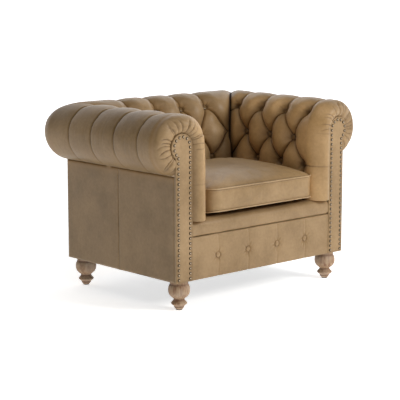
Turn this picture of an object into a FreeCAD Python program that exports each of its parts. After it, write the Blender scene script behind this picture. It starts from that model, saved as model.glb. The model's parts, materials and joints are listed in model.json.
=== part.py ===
import FreeCAD, Part
import math
import os

import Sketcher
from FreeCAD import Vector

# A deep-buttoned club armchair with rolled arms and a rolled back, in its own frame:
# +Z up, the front faces -Y, the sitter's left is +X, and the origin is on the floor
# under the middle of the overall box. All lengths are millimetres.

doc = FreeCAD.newDocument("ClubArmchair")

# ---------------------------------------------------------------- driving sizes

SIZES = [
    # the whole chair
    ("body_width", 900),  # over the outside arm panels
    ("body_depth", 660),  # facing front to outside back
    ("overall_height", 735),
    ("roll_radius", 115),  # over the leather of the arm and back rolls
    ("roll_inset", 30),  # roll centre, in from the outside panel
    ("core_radius", 70),  # hollow heart of the roll
    ("under_roll_height", 509),  # where the outside panels meet the roll
    ("wall_bottom", 336),  # underside of the inside padding
    # the padded inside walls, measured in from the outside plane
    ("arm_wall", 150),
    ("back_wall", 180),
    ("back_wall_middle", 165),
    ("back_middle_height", 580),
    ("arm_hollow", 105),
    ("back_hollow", 132),
    ("leather", 2),
    # the scroll facings on the arm fronts
    ("facing_width", 80),
    ("facing_radius", 50),
    ("facing_arch_height", 617),
    ("facing_thickness", 9),
    ("ring_setback", 4),
    ("ring_radius", 54),
    ("nail_radius", 5.5),
    ("nail_height", 3),
    ("nail_pitch", 19),
    ("nail_inset", 12),
    # the beech frame
    ("frame_bottom", 114),
    ("rail_top", 266),
    ("rail", 25),
    ("board", 22),
    ("post", 40),
    ("post_depth", 30),
    ("panel", 3.5),
    ("gap", 0.5),
    ("liner_bottom", 300),
    ("liner_top", 333),
    ("tacking_top", 560),
    ("top_rail_bottom", 655),
    ("top_rail_top", 675),
    ("top_rail_width", 60),
    ("block_width", 50),
    ("block_length", 68),
    ("block_height", 46),
    ("screw_radius", 2.5),
    ("screw_length", 68),
    # the seat
    ("border_thickness", 14),
    ("lip_bottom", 275),
    ("lip_height", 60),
    ("lip_depth", 98),
    ("spring_count", 5),
    ("spring_spacing", 140),
    ("spring_wire", 1.9),
    ("spring_pitch", 25),
    ("spring_reach", 24),
    ("platform_top", 337),
    # the loose cushion
    ("cushion_width", 550),
    ("cushion_depth", 462),
    ("cushion_offset", 13),  # it sits a little towards the sitter's left
    ("cushion_setback", 10),
    ("cushion_bottom", 340),
    ("cushion_edge", 437),
    ("cushion_shoulder", 471),
    ("cushion_crown", 486),
    ("cushion_corner", 50),
    ("shoulder_slope", 30),
    ("crown_slope", 110),
    ("zip_panel_return", 60),  # how far the zip panel runs round each side
    ("piping_radius", 2.4),
    ("zip_length", 470),
    # tufting
    ("tuft_pitch", 137),
    ("back_tuft_pitch", 135),
    ("border_tuft_pitch", 157),
    ("button_radius", 11),
    ("button_height", 8),
    ("dimple_floor", 12.5),
    ("dimple_mouth", 34),
    ("dimple_depth", 45),
    # feet and underside
    ("foot_height", 112),
    ("foot_side_inset", 52),
    ("foot_front_inset", 45),
    ("foot_rear_inset", 49),
    ("glide_height", 3),
    ("glide_radius", 12),
    ("bolt_radius", 4),
    ("bolt_clearance", 4.2),
    ("cloth", 1.5),
]

sheet = doc.addObject("Spreadsheet::Sheet", "Sizes")
for row, (alias, value) in enumerate(SIZES, start=1):
    sheet.set(f"A{row}", alias)
    sheet.set(f"B{row}", str(value))
    sheet.setAlias(f"B{row}", alias)
doc.recompute()


class Size:
    """A length that knows its value and the sheet expression that gives it."""

    def __init__(self, value, text):
        self.value = value
        self.text = text

    def __add__(self, other):
        other = as_size(other)
        return Size(self.value + other.value, f"({self.text} + {other.text})")

    def __sub__(self, other):
        other = as_size(other)
        return Size(self.value - other.value, f"({self.text} - {other.text})")

    def __mul__(self, factor):
        return Size(self.value * factor, f"({self.text} * {factor})")

    def __truediv__(self, factor):
        return Size(self.value / factor, f"({self.text} / {factor})")

    def __neg__(self):
        return Size(-self.value, f"(0 - {self.text})")


def as_size(length):
    return length if isinstance(length, Size) else Size(float(length), str(length))


def size(alias):
    return Size(float(sheet.get(alias)), f"Sizes.{alias}")


def below(radius, offset):
    """How far under a circle's centre it crosses a line that is offset from the centre."""
    value = math.sqrt(radius.value ** 2 - offset.value ** 2)
    text = f"sqrt({radius.text} * {radius.text} - {offset.text} * {offset.text})"
    return Size(value, text)


half_width = size("body_width") / 2
overhang = size("roll_radius") - size("roll_inset")
front = -(size("body_depth") + overhang - size("nail_height")) / 2  # the nails stand proud of it
back = front + size("body_depth")
roll_height = size("overall_height") - size("roll_radius")
board_back = front + size("facing_thickness") + size("board")
gap = size("gap")
BEYOND = 200  # cutting shapes run this far past the roll


# ---------------------------------------------------------------- ways of making

pieces = {}


def keep(name, shape):
    """Make an object one of the chair's pieces, under the name of its file."""
    shape.Label = name
    pieces[name] = shape
    return shape


def bind(thing, prop, length):
    length = as_size(length)
    thing.setExpression(prop, length.text)


def box(name, x_span, y_span, z_span):
    """A plain block between two places along each axis."""
    block = doc.addObject("Part::Box", name)
    for prop, axis, (low, high) in zip(("Length", "Width", "Height"), "xyz", (x_span, y_span, z_span)):
        bind(block, prop, as_size(high) - low)
        bind(block, f"Placement.Base.{axis}", low)
    return block


def inset(near, far):
    """Two insets from the left outside plane, as a span along X."""
    return (half_width - far, half_width - near)


def across(reach):
    """A span along X, the same to each side of the middle."""
    return (-reach, reach)


class Arc:
    """A round stretch of an outline about a centre; turn is +1 anticlockwise, -1 clockwise."""

    def __init__(self, centre, turn=1):
        self.centre = tuple(as_size(place) for place in centre)
        self.turn = turn


def place_point(sketch, item, end, place, which):
    for kind, prop, index in (("DistanceX", "x", 0), ("DistanceY", "y", 1)):
        if prop in which:
            number = sketch.addConstraint(Sketcher.Constraint(kind, -1, 1, item, end, place[index].value))
            sketch.setExpression(f"Constraints[{number}]", place[index].text)


def draw(sketch, outline):
    """Draw a closed outline of corners, with an Arc between the corners it joins."""
    steps = []
    arc = None
    for entry in outline + [outline[0]]:
        if isinstance(entry, Arc):
            arc = entry
            continue
        corner = tuple(as_size(place) for place in entry)
        steps.append((arc, corner))
        arc = None
    ends = []
    for (_, start), (arc, finish) in zip(steps, steps[1:]):
        first = Vector(start[0].value, start[1].value, 0)
        last = Vector(finish[0].value, finish[1].value, 0)
        if arc is None:
            item = sketch.addGeometry(Part.LineSegment(first, last), False)
            ends.append((item, 1, 2, start))
            continue
        middle = Vector(arc.centre[0].value, arc.centre[1].value, 0)
        circle = Part.Circle(middle, Vector(0, 0, 1), (first - middle).Length)
        angles = [math.atan2(point.y - middle.y, point.x - middle.x) for point in (first, last)]
        begin, finish_at = (1, 2) if arc.turn > 0 else (2, 1)
        low, high = angles if arc.turn > 0 else reversed(angles)
        if high <= low:
            high += 2 * math.pi
        item = sketch.addGeometry(Part.ArcOfCircle(circle, low, high), False)
        place_point(sketch, item, 3, arc.centre, "xy")
        ends.append((item, begin, finish_at, start))
    for number, (item, begin, _, corner) in enumerate(ends):
        before, _, before_end, _ = ends[number - 1]
        sketch.addConstraint(Sketcher.Constraint("Coincident", before, before_end, item, begin))
        arrived_by = steps[number][0] if number else steps[-1][0]
        which = "xy"
        if arrived_by is not None:
            out = [abs(corner[index].value - arrived_by.centre[index].value) for index in (0, 1)]
            which = "y" if out[0] > out[1] else "x"
        place_point(sketch, item, begin, corner, which)


def pad(name, plane, outline, start, length, both_ways=False):
    """A body padded from one outline: on XZ it runs back from start, on YZ to the left, on XY up."""
    body = doc.addObject("PartDesign::Body", name)
    sketch = body.newObject("Sketcher::SketchObject", f"{name}_outline")
    origin = next(item for item in body.Origin.OriginFeatures if item.Role == f"{plane}_Plane")
    sketch.AttachmentSupport = [(origin, "")]
    sketch.MapMode = "FlatFace"
    draw(sketch, outline)
    feature = body.newObject("PartDesign::Pad", f"{name}_pad")
    feature.Profile = sketch
    feature.Midplane = both_ways
    feature.Reversed = plane == "XZ"
    bind(feature, "Length", length)
    axis = {"XZ": "y", "YZ": "x", "XY": "z"}[plane]
    bind(body, f"Placement.Base.{axis}", start)
    return body


def cut(name, base, tool):
    result = doc.addObject("Part::Cut", name)
    result.Base = base
    result.Tool = tool
    return result


def common(name, base, tool):
    result = doc.addObject("Part::Common", name)
    result.Base = base
    result.Tool = tool
    return result


def fuse(name, *shapes):
    result = doc.addObject("Part::MultiFuse", name)
    result.Shapes = list(shapes)
    return result


def mirrored(name, source):
    """The sitter's-right piece, a mirror image of the left one."""
    twin = doc.addObject("Part::Mirroring", name)
    twin.Source = source
    twin.Normal = (1, 0, 0)
    twin.Base = (0, 0, 0)
    return twin


def pair(name, left):
    """Keep a left piece and its mirror image on the right."""
    keep(f"{name}_left", left)
    keep(f"{name}_right", mirrored(f"{name}_right", left))


def solids(name, shapes):
    """Separate solids held as one object, for fasteners and other small like pieces."""
    group = doc.addObject("Part::Feature", name)
    group.Shape = Part.makeCompound(shapes)
    return group


def both_sides(shapes):
    return shapes + [shape.mirror(Vector(0, 0, 0), Vector(1, 0, 0)) for shape in shapes]


# ---------------------------------------------------------------- timber frame

outer_skin = size("panel") + gap
rail_inside = outer_skin + size("rail")
foot_x = (half_width - size("foot_side_inset")).value
foot_places = {
    "front_left": (foot_x, (front + size("foot_front_inset")).value),
    "front_right": (-foot_x, (front + size("foot_front_inset")).value),
    "rear_left": (foot_x, (back - size("foot_rear_inset")).value),
    "rear_right": (-foot_x, (back - size("foot_rear_inset")).value),
}
rail_heights = (size("frame_bottom"), size("rail_top"))
rail_front = front + size("border_thickness") + 3
post_front = back - outer_skin - size("post_depth")
between_facings = half_width - size("facing_width") - gap

keep("front_rail", box("front_rail", across(between_facings),
                       (rail_front, rail_front + size("rail")), rail_heights))
keep("rear_rail", box("rear_rail", across(half_width - outer_skin - size("post") - gap),
                      (back - outer_skin - size("rail"), back - outer_skin), rail_heights))

# two screws at each corner hold the block to the side rail, clear of the foot's bolt
block_length = size("block_length").value
block_middle = (size("frame_bottom") + size("block_height") / 2).value
block_front = (board_back + gap).value
block_rear = (post_front - gap).value
block_side = (half_width - rail_inside - gap).value
screw_start = block_side - size("block_width").value
screw_length = size("screw_length").value
screw_radius = size("screw_radius").value
SCREW_HEAD = 3
screw_places = [block_front + spot * block_length for spot in (0.45, 0.85)]
screw_places += [block_rear - spot * block_length for spot in (0.45, 0.85)]
screw_solids = []
screw_holes = []
for screw_y in screw_places:
    shank = Part.makeCylinder(screw_radius, screw_length,
                              Vector(screw_start, screw_y, block_middle), Vector(1, 0, 0))
    head = Part.makeCone(2 * screw_radius, screw_radius, SCREW_HEAD,
                         Vector(screw_start - SCREW_HEAD, screw_y, block_middle), Vector(1, 0, 0))
    screw_solids.append(head.fuse(shank).removeSplitter())
    screw_holes.append(Part.makeCylinder(screw_radius + 0.1, screw_length + 1,
                                         Vector(screw_start, screw_y, block_middle), Vector(1, 0, 0)))
keep("block_screws", solids("block_screws", both_sides(screw_solids)))

side_timber = box("side_timber", inset(outer_skin, rail_inside),
                  (board_back + gap, post_front - gap), rail_heights)
pair("side_rail", cut("side_rail", side_timber, solids("rail_screw_holes", screw_holes)))
pair("rear_post", box("rear_post", inset(outer_skin, outer_skin + size("post")),
                      (post_front, back - outer_skin), (size("frame_bottom"), size("top_rail_bottom") - gap)))


def facing_outline(near, far, radius, low):
    """A post with a round head that swells past its outer edge, in X and Z."""
    centre = (half_width - size("roll_inset"), size("facing_arch_height"))
    shoulder = size("facing_arch_height") - below(radius, size("roll_inset") - near)
    return [
        (half_width - far, low),
        (half_width - near, low),
        (half_width - near, shoulder),
        Arc(centre),
        (centre[0] - radius, size("facing_arch_height")),
    ]


pair("arm_front_board", pad("arm_front_board", "XZ",
                            facing_outline(outer_skin, size("facing_width"), size("facing_radius"),
                                           size("frame_bottom")),
                            front + size("facing_thickness"), size("board")))
pair("arm_top_rail", box("arm_top_rail", inset(as_size(0), size("top_rail_width")),
                         (board_back + gap, back - size("top_rail_width") - gap),
                         (size("top_rail_bottom"), size("top_rail_top"))))
keep("back_top_rail", box("back_top_rail", across(half_width), (back - size("top_rail_width"), back),
                          (size("top_rail_bottom"), size("top_rail_top"))))
tacking_heights = (size("under_roll_height") - 4, size("tacking_top"))
pair("arm_tacking_rail", box("arm_tacking_rail", inset(outer_skin, rail_inside),
                             (board_back + gap, post_front - gap), tacking_heights))
keep("back_tacking_rail", box("back_tacking_rail", across(half_width - outer_skin - size("post") - gap),
                              (back - outer_skin - size("rail"), back - outer_skin), tacking_heights))
liner_heights = (size("liner_bottom"), size("liner_top"))
lip_back = front + 2 + size("lip_depth")
pair("arm_liner_rail", box("arm_liner_rail", inset(size("facing_width") + gap, size("arm_hollow")),
                           (lip_back + 1, back - size("back_hollow")), liner_heights))
keep("back_liner_rail", box("back_liner_rail", across(half_width - size("arm_hollow") - gap),
                            (back - size("back_hollow"), back - size("back_hollow") + size("rail")),
                            liner_heights))
UPRIGHT_X = 70  # between the springs
upright_shapes = [Part.makeBox(size("post").value, size("rail").value,
                               tacking_heights[0].value - size("rail_top").value - 2 * gap.value,
                               Vector(x - size("post").value / 2, (back - rail_inside).value,
                                      size("rail_top").value + gap.value)) for x in (-UPRIGHT_X, UPRIGHT_X)]
keep("back_uprights", solids("back_uprights", upright_shapes))


NUT_BARREL = 5.5
NUT_LENGTH = 12
NUT_FLANGE = 11
NUT_PLATE = 1.5
block_top = (size("frame_bottom") + size("block_height")).value
nut_bottom = block_top - NUT_LENGTH
bolt_bore = size("bolt_clearance").value


def corner_block(low_y, bolt_y):
    """A glue block inside a corner, bored for the foot's hanger bolt and its tee nut."""
    low_z = size("frame_bottom").value
    height = size("block_height").value
    block = Part.makeBox(size("block_width").value, block_length, height, Vector(screw_start, low_y, low_z))
    bore = Part.makeCylinder(bolt_bore, height, Vector(foot_x, bolt_y, low_z))
    counterbore = Part.makeCylinder(NUT_BARREL + 0.2, NUT_LENGTH, Vector(foot_x, bolt_y, nut_bottom))
    return block.cut(Part.makeCompound([bore, counterbore] + screw_holes))


blocks = [corner_block(block_front, foot_places["front_left"][1]),
          corner_block(block_rear - block_length, foot_places["rear_left"][1])]
keep("corner_blocks", solids("corner_blocks", both_sides(blocks)))


# ---------------------------------------------------------------- feet, bolts and glides

# The turned foot from its glide up: pad, square step, sharp bead, neck, then the bulb.
FOOT_TURNING = [(14, 3), (14, 6), (18, 8), (19, 14), (30.5, 25), (29, 29), (20, 40.7),
                (36, 56), (41.3, 77), (39.5, 90), (34, 98)]
BOLT_DEPTH = 30


def foot(name, place):
    """A foot turned about its own axis, bored from the top for its bolt."""
    body = doc.addObject("PartDesign::Body", name)
    sketch = body.newObject("Sketcher::SketchObject", f"{name}_turning")
    origin = next(item for item in body.Origin.OriginFeatures if item.Role == "XZ_Plane")
    sketch.AttachmentSupport = [(origin, "")]
    sketch.MapMode = "FlatFace"
    clear = size("bolt_clearance")
    top = size("foot_height")
    bore_bottom = top - BOLT_DEPTH
    draw(sketch, [(0, size("glide_height")), *FOOT_TURNING, (FOOT_TURNING[-1][0], top),
                  (clear, top), (clear, bore_bottom), (0, bore_bottom)])
    turning = body.newObject("PartDesign::Revolution", f"{name}_revolution")
    turning.Profile = sketch
    turning.ReferenceAxis = (sketch, ["V_Axis"])
    turning.Angle = 360
    body.Placement.Base = Vector(place[0], place[1], 0)
    side = "" if place[0] > 0 else "0 - "
    body.setExpression("Placement.Base.x", f"{side}{(half_width - size('foot_side_inset')).text}")
    along = front + size("foot_front_inset") if place[1] < 0 else back - size("foot_rear_inset")
    bind(body, "Placement.Base.y", along)
    return body


for where, spot in foot_places.items():
    keep(f"foot_{where}", foot(f"foot_{where}", spot))

bolt_low = size("foot_height").value - BOLT_DEPTH
BOLT_LENGTH = 74
bolts = [Part.makeCylinder(size("bolt_radius").value, BOLT_LENGTH, Vector(x, y, bolt_low))
         for x, y in foot_places.values()]
keep("hanger_bolts", solids("hanger_bolts", bolts))


def tee_nut(x, y):
    barrel = Part.makeCylinder(NUT_BARREL, NUT_LENGTH, Vector(x, y, nut_bottom))
    flange = Part.makeCylinder(NUT_FLANGE, NUT_PLATE, Vector(x, y, block_top))
    bore = Part.makeCylinder(bolt_bore, NUT_LENGTH + NUT_PLATE, Vector(x, y, nut_bottom))
    return barrel.fuse(flange).cut(bore).removeSplitter()


keep("tee_nuts", solids("tee_nuts", [tee_nut(x, y) for x, y in foot_places.values()]))
glides = [Part.makeCylinder(size("glide_radius").value, size("glide_height").value, Vector(x, y, 0))
          for x, y in foot_places.values()]
keep("glides", solids("glides", glides))

# black cloth tacked under the frame, pierced for the bolts
cloth_sheet = box("cloth_sheet", across(half_width - outer_skin), (rail_front, back - outer_skin),
                  (size("foot_height"), size("foot_height") + size("cloth")))
cloth_holes = [Part.makeCylinder(bolt_bore, 10, Vector(x, y, size("foot_height").value - 5))
               for x, y in foot_places.values()]
keep("dust_cover", cut("dust_cover", cloth_sheet, solids("dust_cover_holes", cloth_holes)))


# ---------------------------------------------------------------- springs and webbing

wire = size("spring_wire").value
spring_height = size("rail_top").value + wire + 0.4
spring_front = (rail_front + size("rail") / 2).value
spring_back = (back - outer_skin - size("rail") / 2).value


def sinuous_spring(x):
    """One zigzag spring: straight bars joined by half turns, from the front rail to the rear one."""
    pitch = size("spring_pitch").value
    reach = size("spring_reach").value
    bars = int((spring_back - spring_front) / pitch) + 1
    start = (spring_front + spring_back - (bars - 1) * pitch) / 2
    edges = []
    for bar in range(bars):
        y = start + bar * pitch
        side = 1 if bar % 2 else -1
        near = Vector(x + side * reach, y, spring_height)
        far = Vector(x - side * reach, y, spring_height)
        edges.append(Part.LineSegment(near, far).toShape())
        if bar < bars - 1:
            turn = Vector(x - side * (reach + pitch / 2), y + pitch / 2, spring_height)
            edges.append(Part.Arc(far, turn, far + Vector(0, pitch, 0)).toShape())
    path = Part.Wire(edges)
    first = edges[0].Vertexes[0].Point
    section = Part.Wire(Part.makeCircle(wire, first, Vector(1, 0, 0)))
    return path.makePipeShell([section], True, False), start


middle_spring = (size("spring_count").value - 1) / 2
spring_places = [(number - middle_spring) * size("spring_spacing").value
                 for number in range(int(size("spring_count").value))]
spring_solids = []
clip_solids = []
CLIP_WIDTH = 16
CLIP_PLATE = 1.2
for spring_x in spring_places:
    spring, first_bar = sinuous_spring(spring_x)
    spring_solids.append(spring)
    for bar_y in (first_bar, spring_front + spring_back - first_bar):
        over = Part.makeBox(CLIP_WIDTH, 4 * wire, CLIP_PLATE,
                            Vector(spring_x - CLIP_WIDTH / 2, bar_y - 2 * wire, spring_height + wire + 0.1))
        clip_solids.append(over)
keep("seat_springs", solids("seat_springs", spring_solids))
keep("spring_clips", solids("spring_clips", clip_solids))

seat_back = back - size("back_wall") - 2
hessian_bottom = size("lip_bottom") + 2
keep("seat_hessian", box("seat_hessian", across(half_width - size("facing_width") - 10),
                         (lip_back + 1, back - 60), (hessian_bottom, hessian_bottom + size("cloth"))))
WEB_WIDTH = 50
WEB_TOP = 600
web_low = size("wall_bottom").value + 4
web_inset = size("core_radius").value + size("roll_inset").value - 3
arm_webs = [Part.makeBox(size("cloth").value, WEB_WIDTH, WEB_TOP - web_low,
                         Vector(half_width.value - web_inset, y, web_low)) for y in (-300, -180, -60, 60)]
keep("arm_webbing", solids("arm_webbing", both_sides(arm_webs)))
back_webs = [Part.makeBox(WEB_WIDTH, size("cloth").value, WEB_TOP - web_low,
                          Vector(x - WEB_WIDTH / 2, back.value - web_inset, web_low))
             for x in (-240, -80, 80, 240)]
keep("back_webbing", solids("back_webbing", back_webs))


# ---------------------------------------------------------------- padding and leather of the arms and back

def wall_outline(edge, skin, wall, hollow, bulge=None):
    """The section of a roll and the padded wall below it, round the hollow heart of the roll."""
    radius = size("roll_radius") - skin
    centre = (edge - size("roll_inset"), roll_height)
    inside = []
    if bulge is not None:
        inside = [(edge - (bulge[0] - skin), bulge[1])]
    return [
        (edge, roll_height - below(radius, size("roll_inset"))),
        Arc(centre),
        (centre[0] - radius, roll_height),
        *inside,
        (edge - (wall - skin), size("wall_bottom")),
        (edge - hollow, size("wall_bottom")),
        (centre[0] - size("core_radius"), roll_height),
        Arc(centre, -1),
        (edge, roll_height - below(size("core_radius"), size("roll_inset"))),
    ]


def ring_outline(skin):
    """The front end of an arm: a ring about the facing's head, and the upright beside the facing."""
    radius = size("roll_radius") - skin
    opening = size("ring_radius") + skin
    centre = (half_width - size("roll_inset"), roll_height)
    return [
        (half_width, roll_height - below(radius, size("roll_inset"))),
        Arc(centre),
        (centre[0] - radius, roll_height),
        (half_width - (size("arm_wall") - skin), size("wall_bottom")),
        (centre[0] - opening, size("wall_bottom")),
        (centre[0] - opening, roll_height),
        Arc(centre, -1),
        (half_width, roll_height - below(opening, size("roll_inset"))),
    ]


def corner_round(name, radius):
    """What lies outside the rounded rear corner of the rolls, seen from above."""
    outline = [
        (half_width + radius, back),
        Arc((half_width, back)),
        (half_width, back + radius),
        (half_width, back + BEYOND),
        (half_width + BEYOND, back + BEYOND),
        (half_width + BEYOND, back),
    ]
    return pad(name, "XY", outline, size("wall_bottom"), size("overall_height"))


def arm_mitre(name):
    outline = [(half_width + BEYOND, back + BEYOND), (half_width - BEYOND, back + BEYOND),
               (half_width - BEYOND, back - BEYOND)]
    return pad(name, "XY", outline, size("wall_bottom") - 10, size("overall_height"))


def back_mitre(name):
    turn_in = size("arm_wall") + 0.3
    outline = [(half_width + BEYOND, back + BEYOND), (half_width - turn_in, back - turn_in),
               (half_width - turn_in, back - BEYOND * 2), (half_width + BEYOND, back - BEYOND * 2)]
    return pad(name, "XY", outline, size("wall_bottom") - 10, size("overall_height"))


def on_roll(edge, reach, angle):
    """A place on a circle about the roll's centre, as its inset and height, with the way out."""
    across_out = -math.cos(math.radians(angle))
    up_out = math.sin(math.radians(angle))
    place = (edge - size("roll_inset").value + reach * across_out, roll_height.value + reach * up_out)
    return place, (across_out, up_out)


ROLL_TUFT_ANGLE = 39
ARM_ROLL_SEAT = 78  # from the roll's centre to the base of its buttons
BACK_ROLL_SEAT = 84
ARM_WALL_SEAT = 118
BACK_WALL_SEAT = 141
MIDDLE_ROW = 577
LOW_ROW = 474
FIRST_TUFT = {1: front.value + 90, -1: front.value + 125}  # frontmost buttons, left arm and right arm


def arm_button_seats(side):
    """Base point and outward direction of each button on the left arm, side 1, or the right one, -1."""
    pitch = size("tuft_pitch").value
    first = FIRST_TUFT[side]
    edge = half_width.value
    (roll_x, roll_z), (out_x, out_z) = on_roll(edge, ARM_ROLL_SEAT, ROLL_TUFT_ANGLE)
    wall_x = side * (edge - ARM_WALL_SEAT)
    inward = Vector(-side, 0, 0)
    upward = Vector(side * out_x, 0, out_z)
    seats = [(Vector(side * roll_x, first + i * pitch, roll_z), upward) for i in range(4)]
    seats += [(Vector(wall_x, first + (i + 0.5) * pitch, MIDDLE_ROW), inward) for i in range(3)]
    seats += [(Vector(wall_x, first + i * pitch, LOW_ROW), inward) for i in range(3)]
    return seats


def back_button_seats():
    pitch = size("back_tuft_pitch").value
    edge = back.value
    (roll_y, roll_z), (out_y, out_z) = on_roll(edge, BACK_ROLL_SEAT, ROLL_TUFT_ANGLE)
    outer = [(i - 1.5) * pitch for i in range(4)]
    inner = [(i - 1) * pitch for i in range(3)]
    forward = Vector(0, -1, 0)
    seats = [(Vector(x, roll_y, roll_z), Vector(0, out_y, out_z)) for x in outer]
    seats += [(Vector(x, edge - BACK_WALL_SEAT, MIDDLE_ROW), forward) for x in inner]
    seats += [(Vector(x, edge - BACK_WALL_SEAT, LOW_ROW), forward) for x in outer]
    return seats


def dimples(name, seats, skin):
    """The cone-shaped hollows that the buttons pull into the padding."""
    floor = size("dimple_floor").value + skin
    mouth = size("dimple_mouth").value + skin
    depth = size("dimple_depth").value + skin
    return solids(name, [Part.makeCone(floor, mouth, depth, seat - out * skin, out) for seat, out in seats])


def arm_block(name, skin):
    """A whole left arm in one block, before its buttoning, short of its leather by the skin."""
    start = front + size("ring_setback") + skin
    ring = pad(f"{name}_ring", "XZ", ring_outline(skin), start, board_back - start)
    outline = wall_outline(half_width, skin, size("arm_wall"), size("arm_hollow"))
    run = pad(f"{name}_run", "XZ", outline, board_back, back + overhang - skin - board_back)
    whole = fuse(f"{name}_whole", ring, run)
    mitred = cut(f"{name}_mitred", whole, arm_mitre(f"{name}_mitre"))
    return cut(f"{name}_rounded", mitred, corner_round(f"{name}_corner", overhang - skin))


def back_block(name, skin):
    outline = wall_outline(back, skin, size("back_wall"), size("back_hollow"),
                           (size("back_wall_middle"), size("back_middle_height")))
    run = pad(f"{name}_run", "YZ", outline, as_size(0), (half_width + overhang - skin) * 2, both_ways=True)
    shape = run
    for cutter in (back_mitre(f"{name}_mitre"), corner_round(f"{name}_corner", overhang - skin)):
        shape = cut(f"{cutter.Name}_left", shape, cutter)
        shape = cut(f"{cutter.Name}_right", shape, mirrored(f"{cutter.Name}_twin", cutter))
    return shape


def buttoned(foam_name, cover_name, foam_block, outer_block, seats):
    """Dimple a block of foam and the leather block round it, and keep the foam and the leather skin."""
    foam = cut(foam_name, foam_block, dimples(f"{foam_name}_dimples", seats, size("leather").value))
    outside = cut(f"{cover_name}_outside", outer_block, dimples(f"{cover_name}_dimples", seats, 0))
    keep(foam_name, foam)
    keep(cover_name, cut(cover_name, outside, foam))


nothing = as_size(0)
leather = size("leather")
arm_padding = arm_block("arm_padding", leather)
arm_outside = arm_block("arm_outside", nothing)
buttoned("arm_foam_left", "inside_arm_cover_left", arm_padding, arm_outside, arm_button_seats(1))
buttoned("arm_foam_right", "inside_arm_cover_right", mirrored("arm_padding_twin", arm_padding),
         mirrored("arm_outside_twin", arm_outside), arm_button_seats(-1))
buttoned("back_foam", "inside_back_cover", back_block("back_padding", leather),
         back_block("back_outside", nothing), back_button_seats())


def covered_button(seat, out):
    """A leather-covered button: a shallow barrel under a domed cap."""
    radius = size("button_radius").value
    barrel = size("button_height").value / 2
    dome = size("button_height").value - barrel
    sphere_radius = (radius ** 2 + dome ** 2) / (2 * dome)
    base = Part.makeCylinder(radius, barrel, Vector(0, 0, 0))
    cap = Part.makeSphere(sphere_radius, Vector(0, 0, barrel + dome - sphere_radius))
    cap = cap.common(Part.makeCylinder(radius, dome, Vector(0, 0, barrel)))
    button = base.fuse(cap).removeSplitter()
    button.Placement = FreeCAD.Placement(seat + out * 0.1, FreeCAD.Rotation(Vector(0, 0, 1), out))
    return button


# ---------------------------------------------------------------- front border, lip and platform

border_front = front + 2
BORDER_BUTTON_HEIGHT = 192
BORDER_DIMPLE = 9
border_slab = box("border_slab", across(between_facings),
                  (border_front, border_front + size("border_thickness")),
                  (size("foot_height"), size("lip_bottom") - gap))
border_seats = [(Vector((i - 1.5) * size("border_tuft_pitch").value, border_front.value + BORDER_DIMPLE,
                        BORDER_BUTTON_HEIGHT), Vector(0, -1, 0)) for i in range(4)]
border_hollows = [Part.makeCone(size("dimple_floor").value, size("dimple_mouth").value,
                                2 * BORDER_DIMPLE, seat, out) for seat, out in border_seats]
keep("front_border", cut("front_border", border_slab, solids("border_dimples", border_hollows)))

button_seats = arm_button_seats(1) + arm_button_seats(-1) + back_button_seats() + border_seats
keep("upholstery_buttons", solids("upholstery_buttons", [covered_button(*seat) for seat in button_seats]))

lip_round = size("lip_height") / 2
lip_top = size("lip_bottom") + size("lip_height")
lip_nose = border_front + lip_round
lip_outline = [(lip_back, size("lip_bottom")), (lip_back, lip_top), (lip_nose, lip_top),
               Arc((lip_nose, size("lip_bottom") + lip_round)), (lip_nose, size("lip_bottom"))]
keep("front_lip", pad("front_lip", "YZ", lip_outline, nothing, between_facings * 2, both_ways=True))
keep("seat_platform", box("seat_platform", across(half_width - size("arm_wall") - 2),
                          (lip_back + 1, seat_back), (size("lip_bottom") + 4, size("platform_top"))))


# ---------------------------------------------------------------- facings and their nails

pair("facing", pad("facing", "XZ",
                   facing_outline(nothing, size("facing_width"), size("facing_radius"), size("foot_height")),
                   front, size("facing_thickness")))


def nail_places():
    """Nails at one pitch up the outer edge, round the arch and down the inner edge of a facing."""
    edge = size("nail_inset").value
    pitch = size("nail_pitch").value
    low = size("foot_height").value + edge
    radius = size("facing_radius").value - edge
    centre_x = half_width.value - size("roll_inset").value
    centre_z = size("facing_arch_height").value
    outer_x = half_width.value - edge
    inner_x = half_width.value - size("facing_width").value + edge
    rise = math.sqrt(radius ** 2 - (outer_x - centre_x) ** 2)
    begin = math.atan2(-rise, outer_x - centre_x)
    outer_run = centre_z - rise - low
    arch_run = (math.pi - begin) * radius
    inner_run = centre_z - low
    total = outer_run + arch_run + inner_run
    count = round(total / pitch)
    spots = []
    for number in range(count + 1):
        along = total * number / count
        if along < outer_run:
            spots.append((outer_x, low + along))
        elif along < outer_run + arch_run:
            angle = begin + (along - outer_run) / radius
            spots.append((centre_x + radius * math.cos(angle), centre_z + radius * math.sin(angle)))
        else:
            spots.append((inner_x, centre_z - (along - outer_run - arch_run)))
    return spots


def nail_head(x, z):
    radius = size("nail_radius").value
    height = size("nail_height").value
    ball_radius = (radius ** 2 + height ** 2) / (2 * height)
    ball = Part.makeSphere(ball_radius, Vector(x, front.value + ball_radius - height, z))
    return ball.common(Part.makeCylinder(radius, height, Vector(x, front.value, z), Vector(0, -1, 0)))


keep("facing_nails", solids("facing_nails", both_sides([nail_head(x, z) for x, z in nail_places()])))


# ---------------------------------------------------------------- outside panels

panel_heights = (size("foot_height"), size("under_roll_height") - gap)
panel_front = front + size("facing_thickness")
panel_seam = (panel_front + back) / 2
panel_inset = inset(nothing, size("panel"))
pair("outside_arm_front_panel", box("outside_arm_front_panel", panel_inset,
                                    (panel_front, panel_seam), panel_heights))
pair("outside_arm_rear_panel", box("outside_arm_rear_panel", panel_inset,
                                   (panel_seam, back), panel_heights))
keep("outside_back_panel", box("outside_back_panel", across(half_width - size("panel")),
                               (back - size("panel"), back), panel_heights))


# ---------------------------------------------------------------- the loose seat cushion

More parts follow.
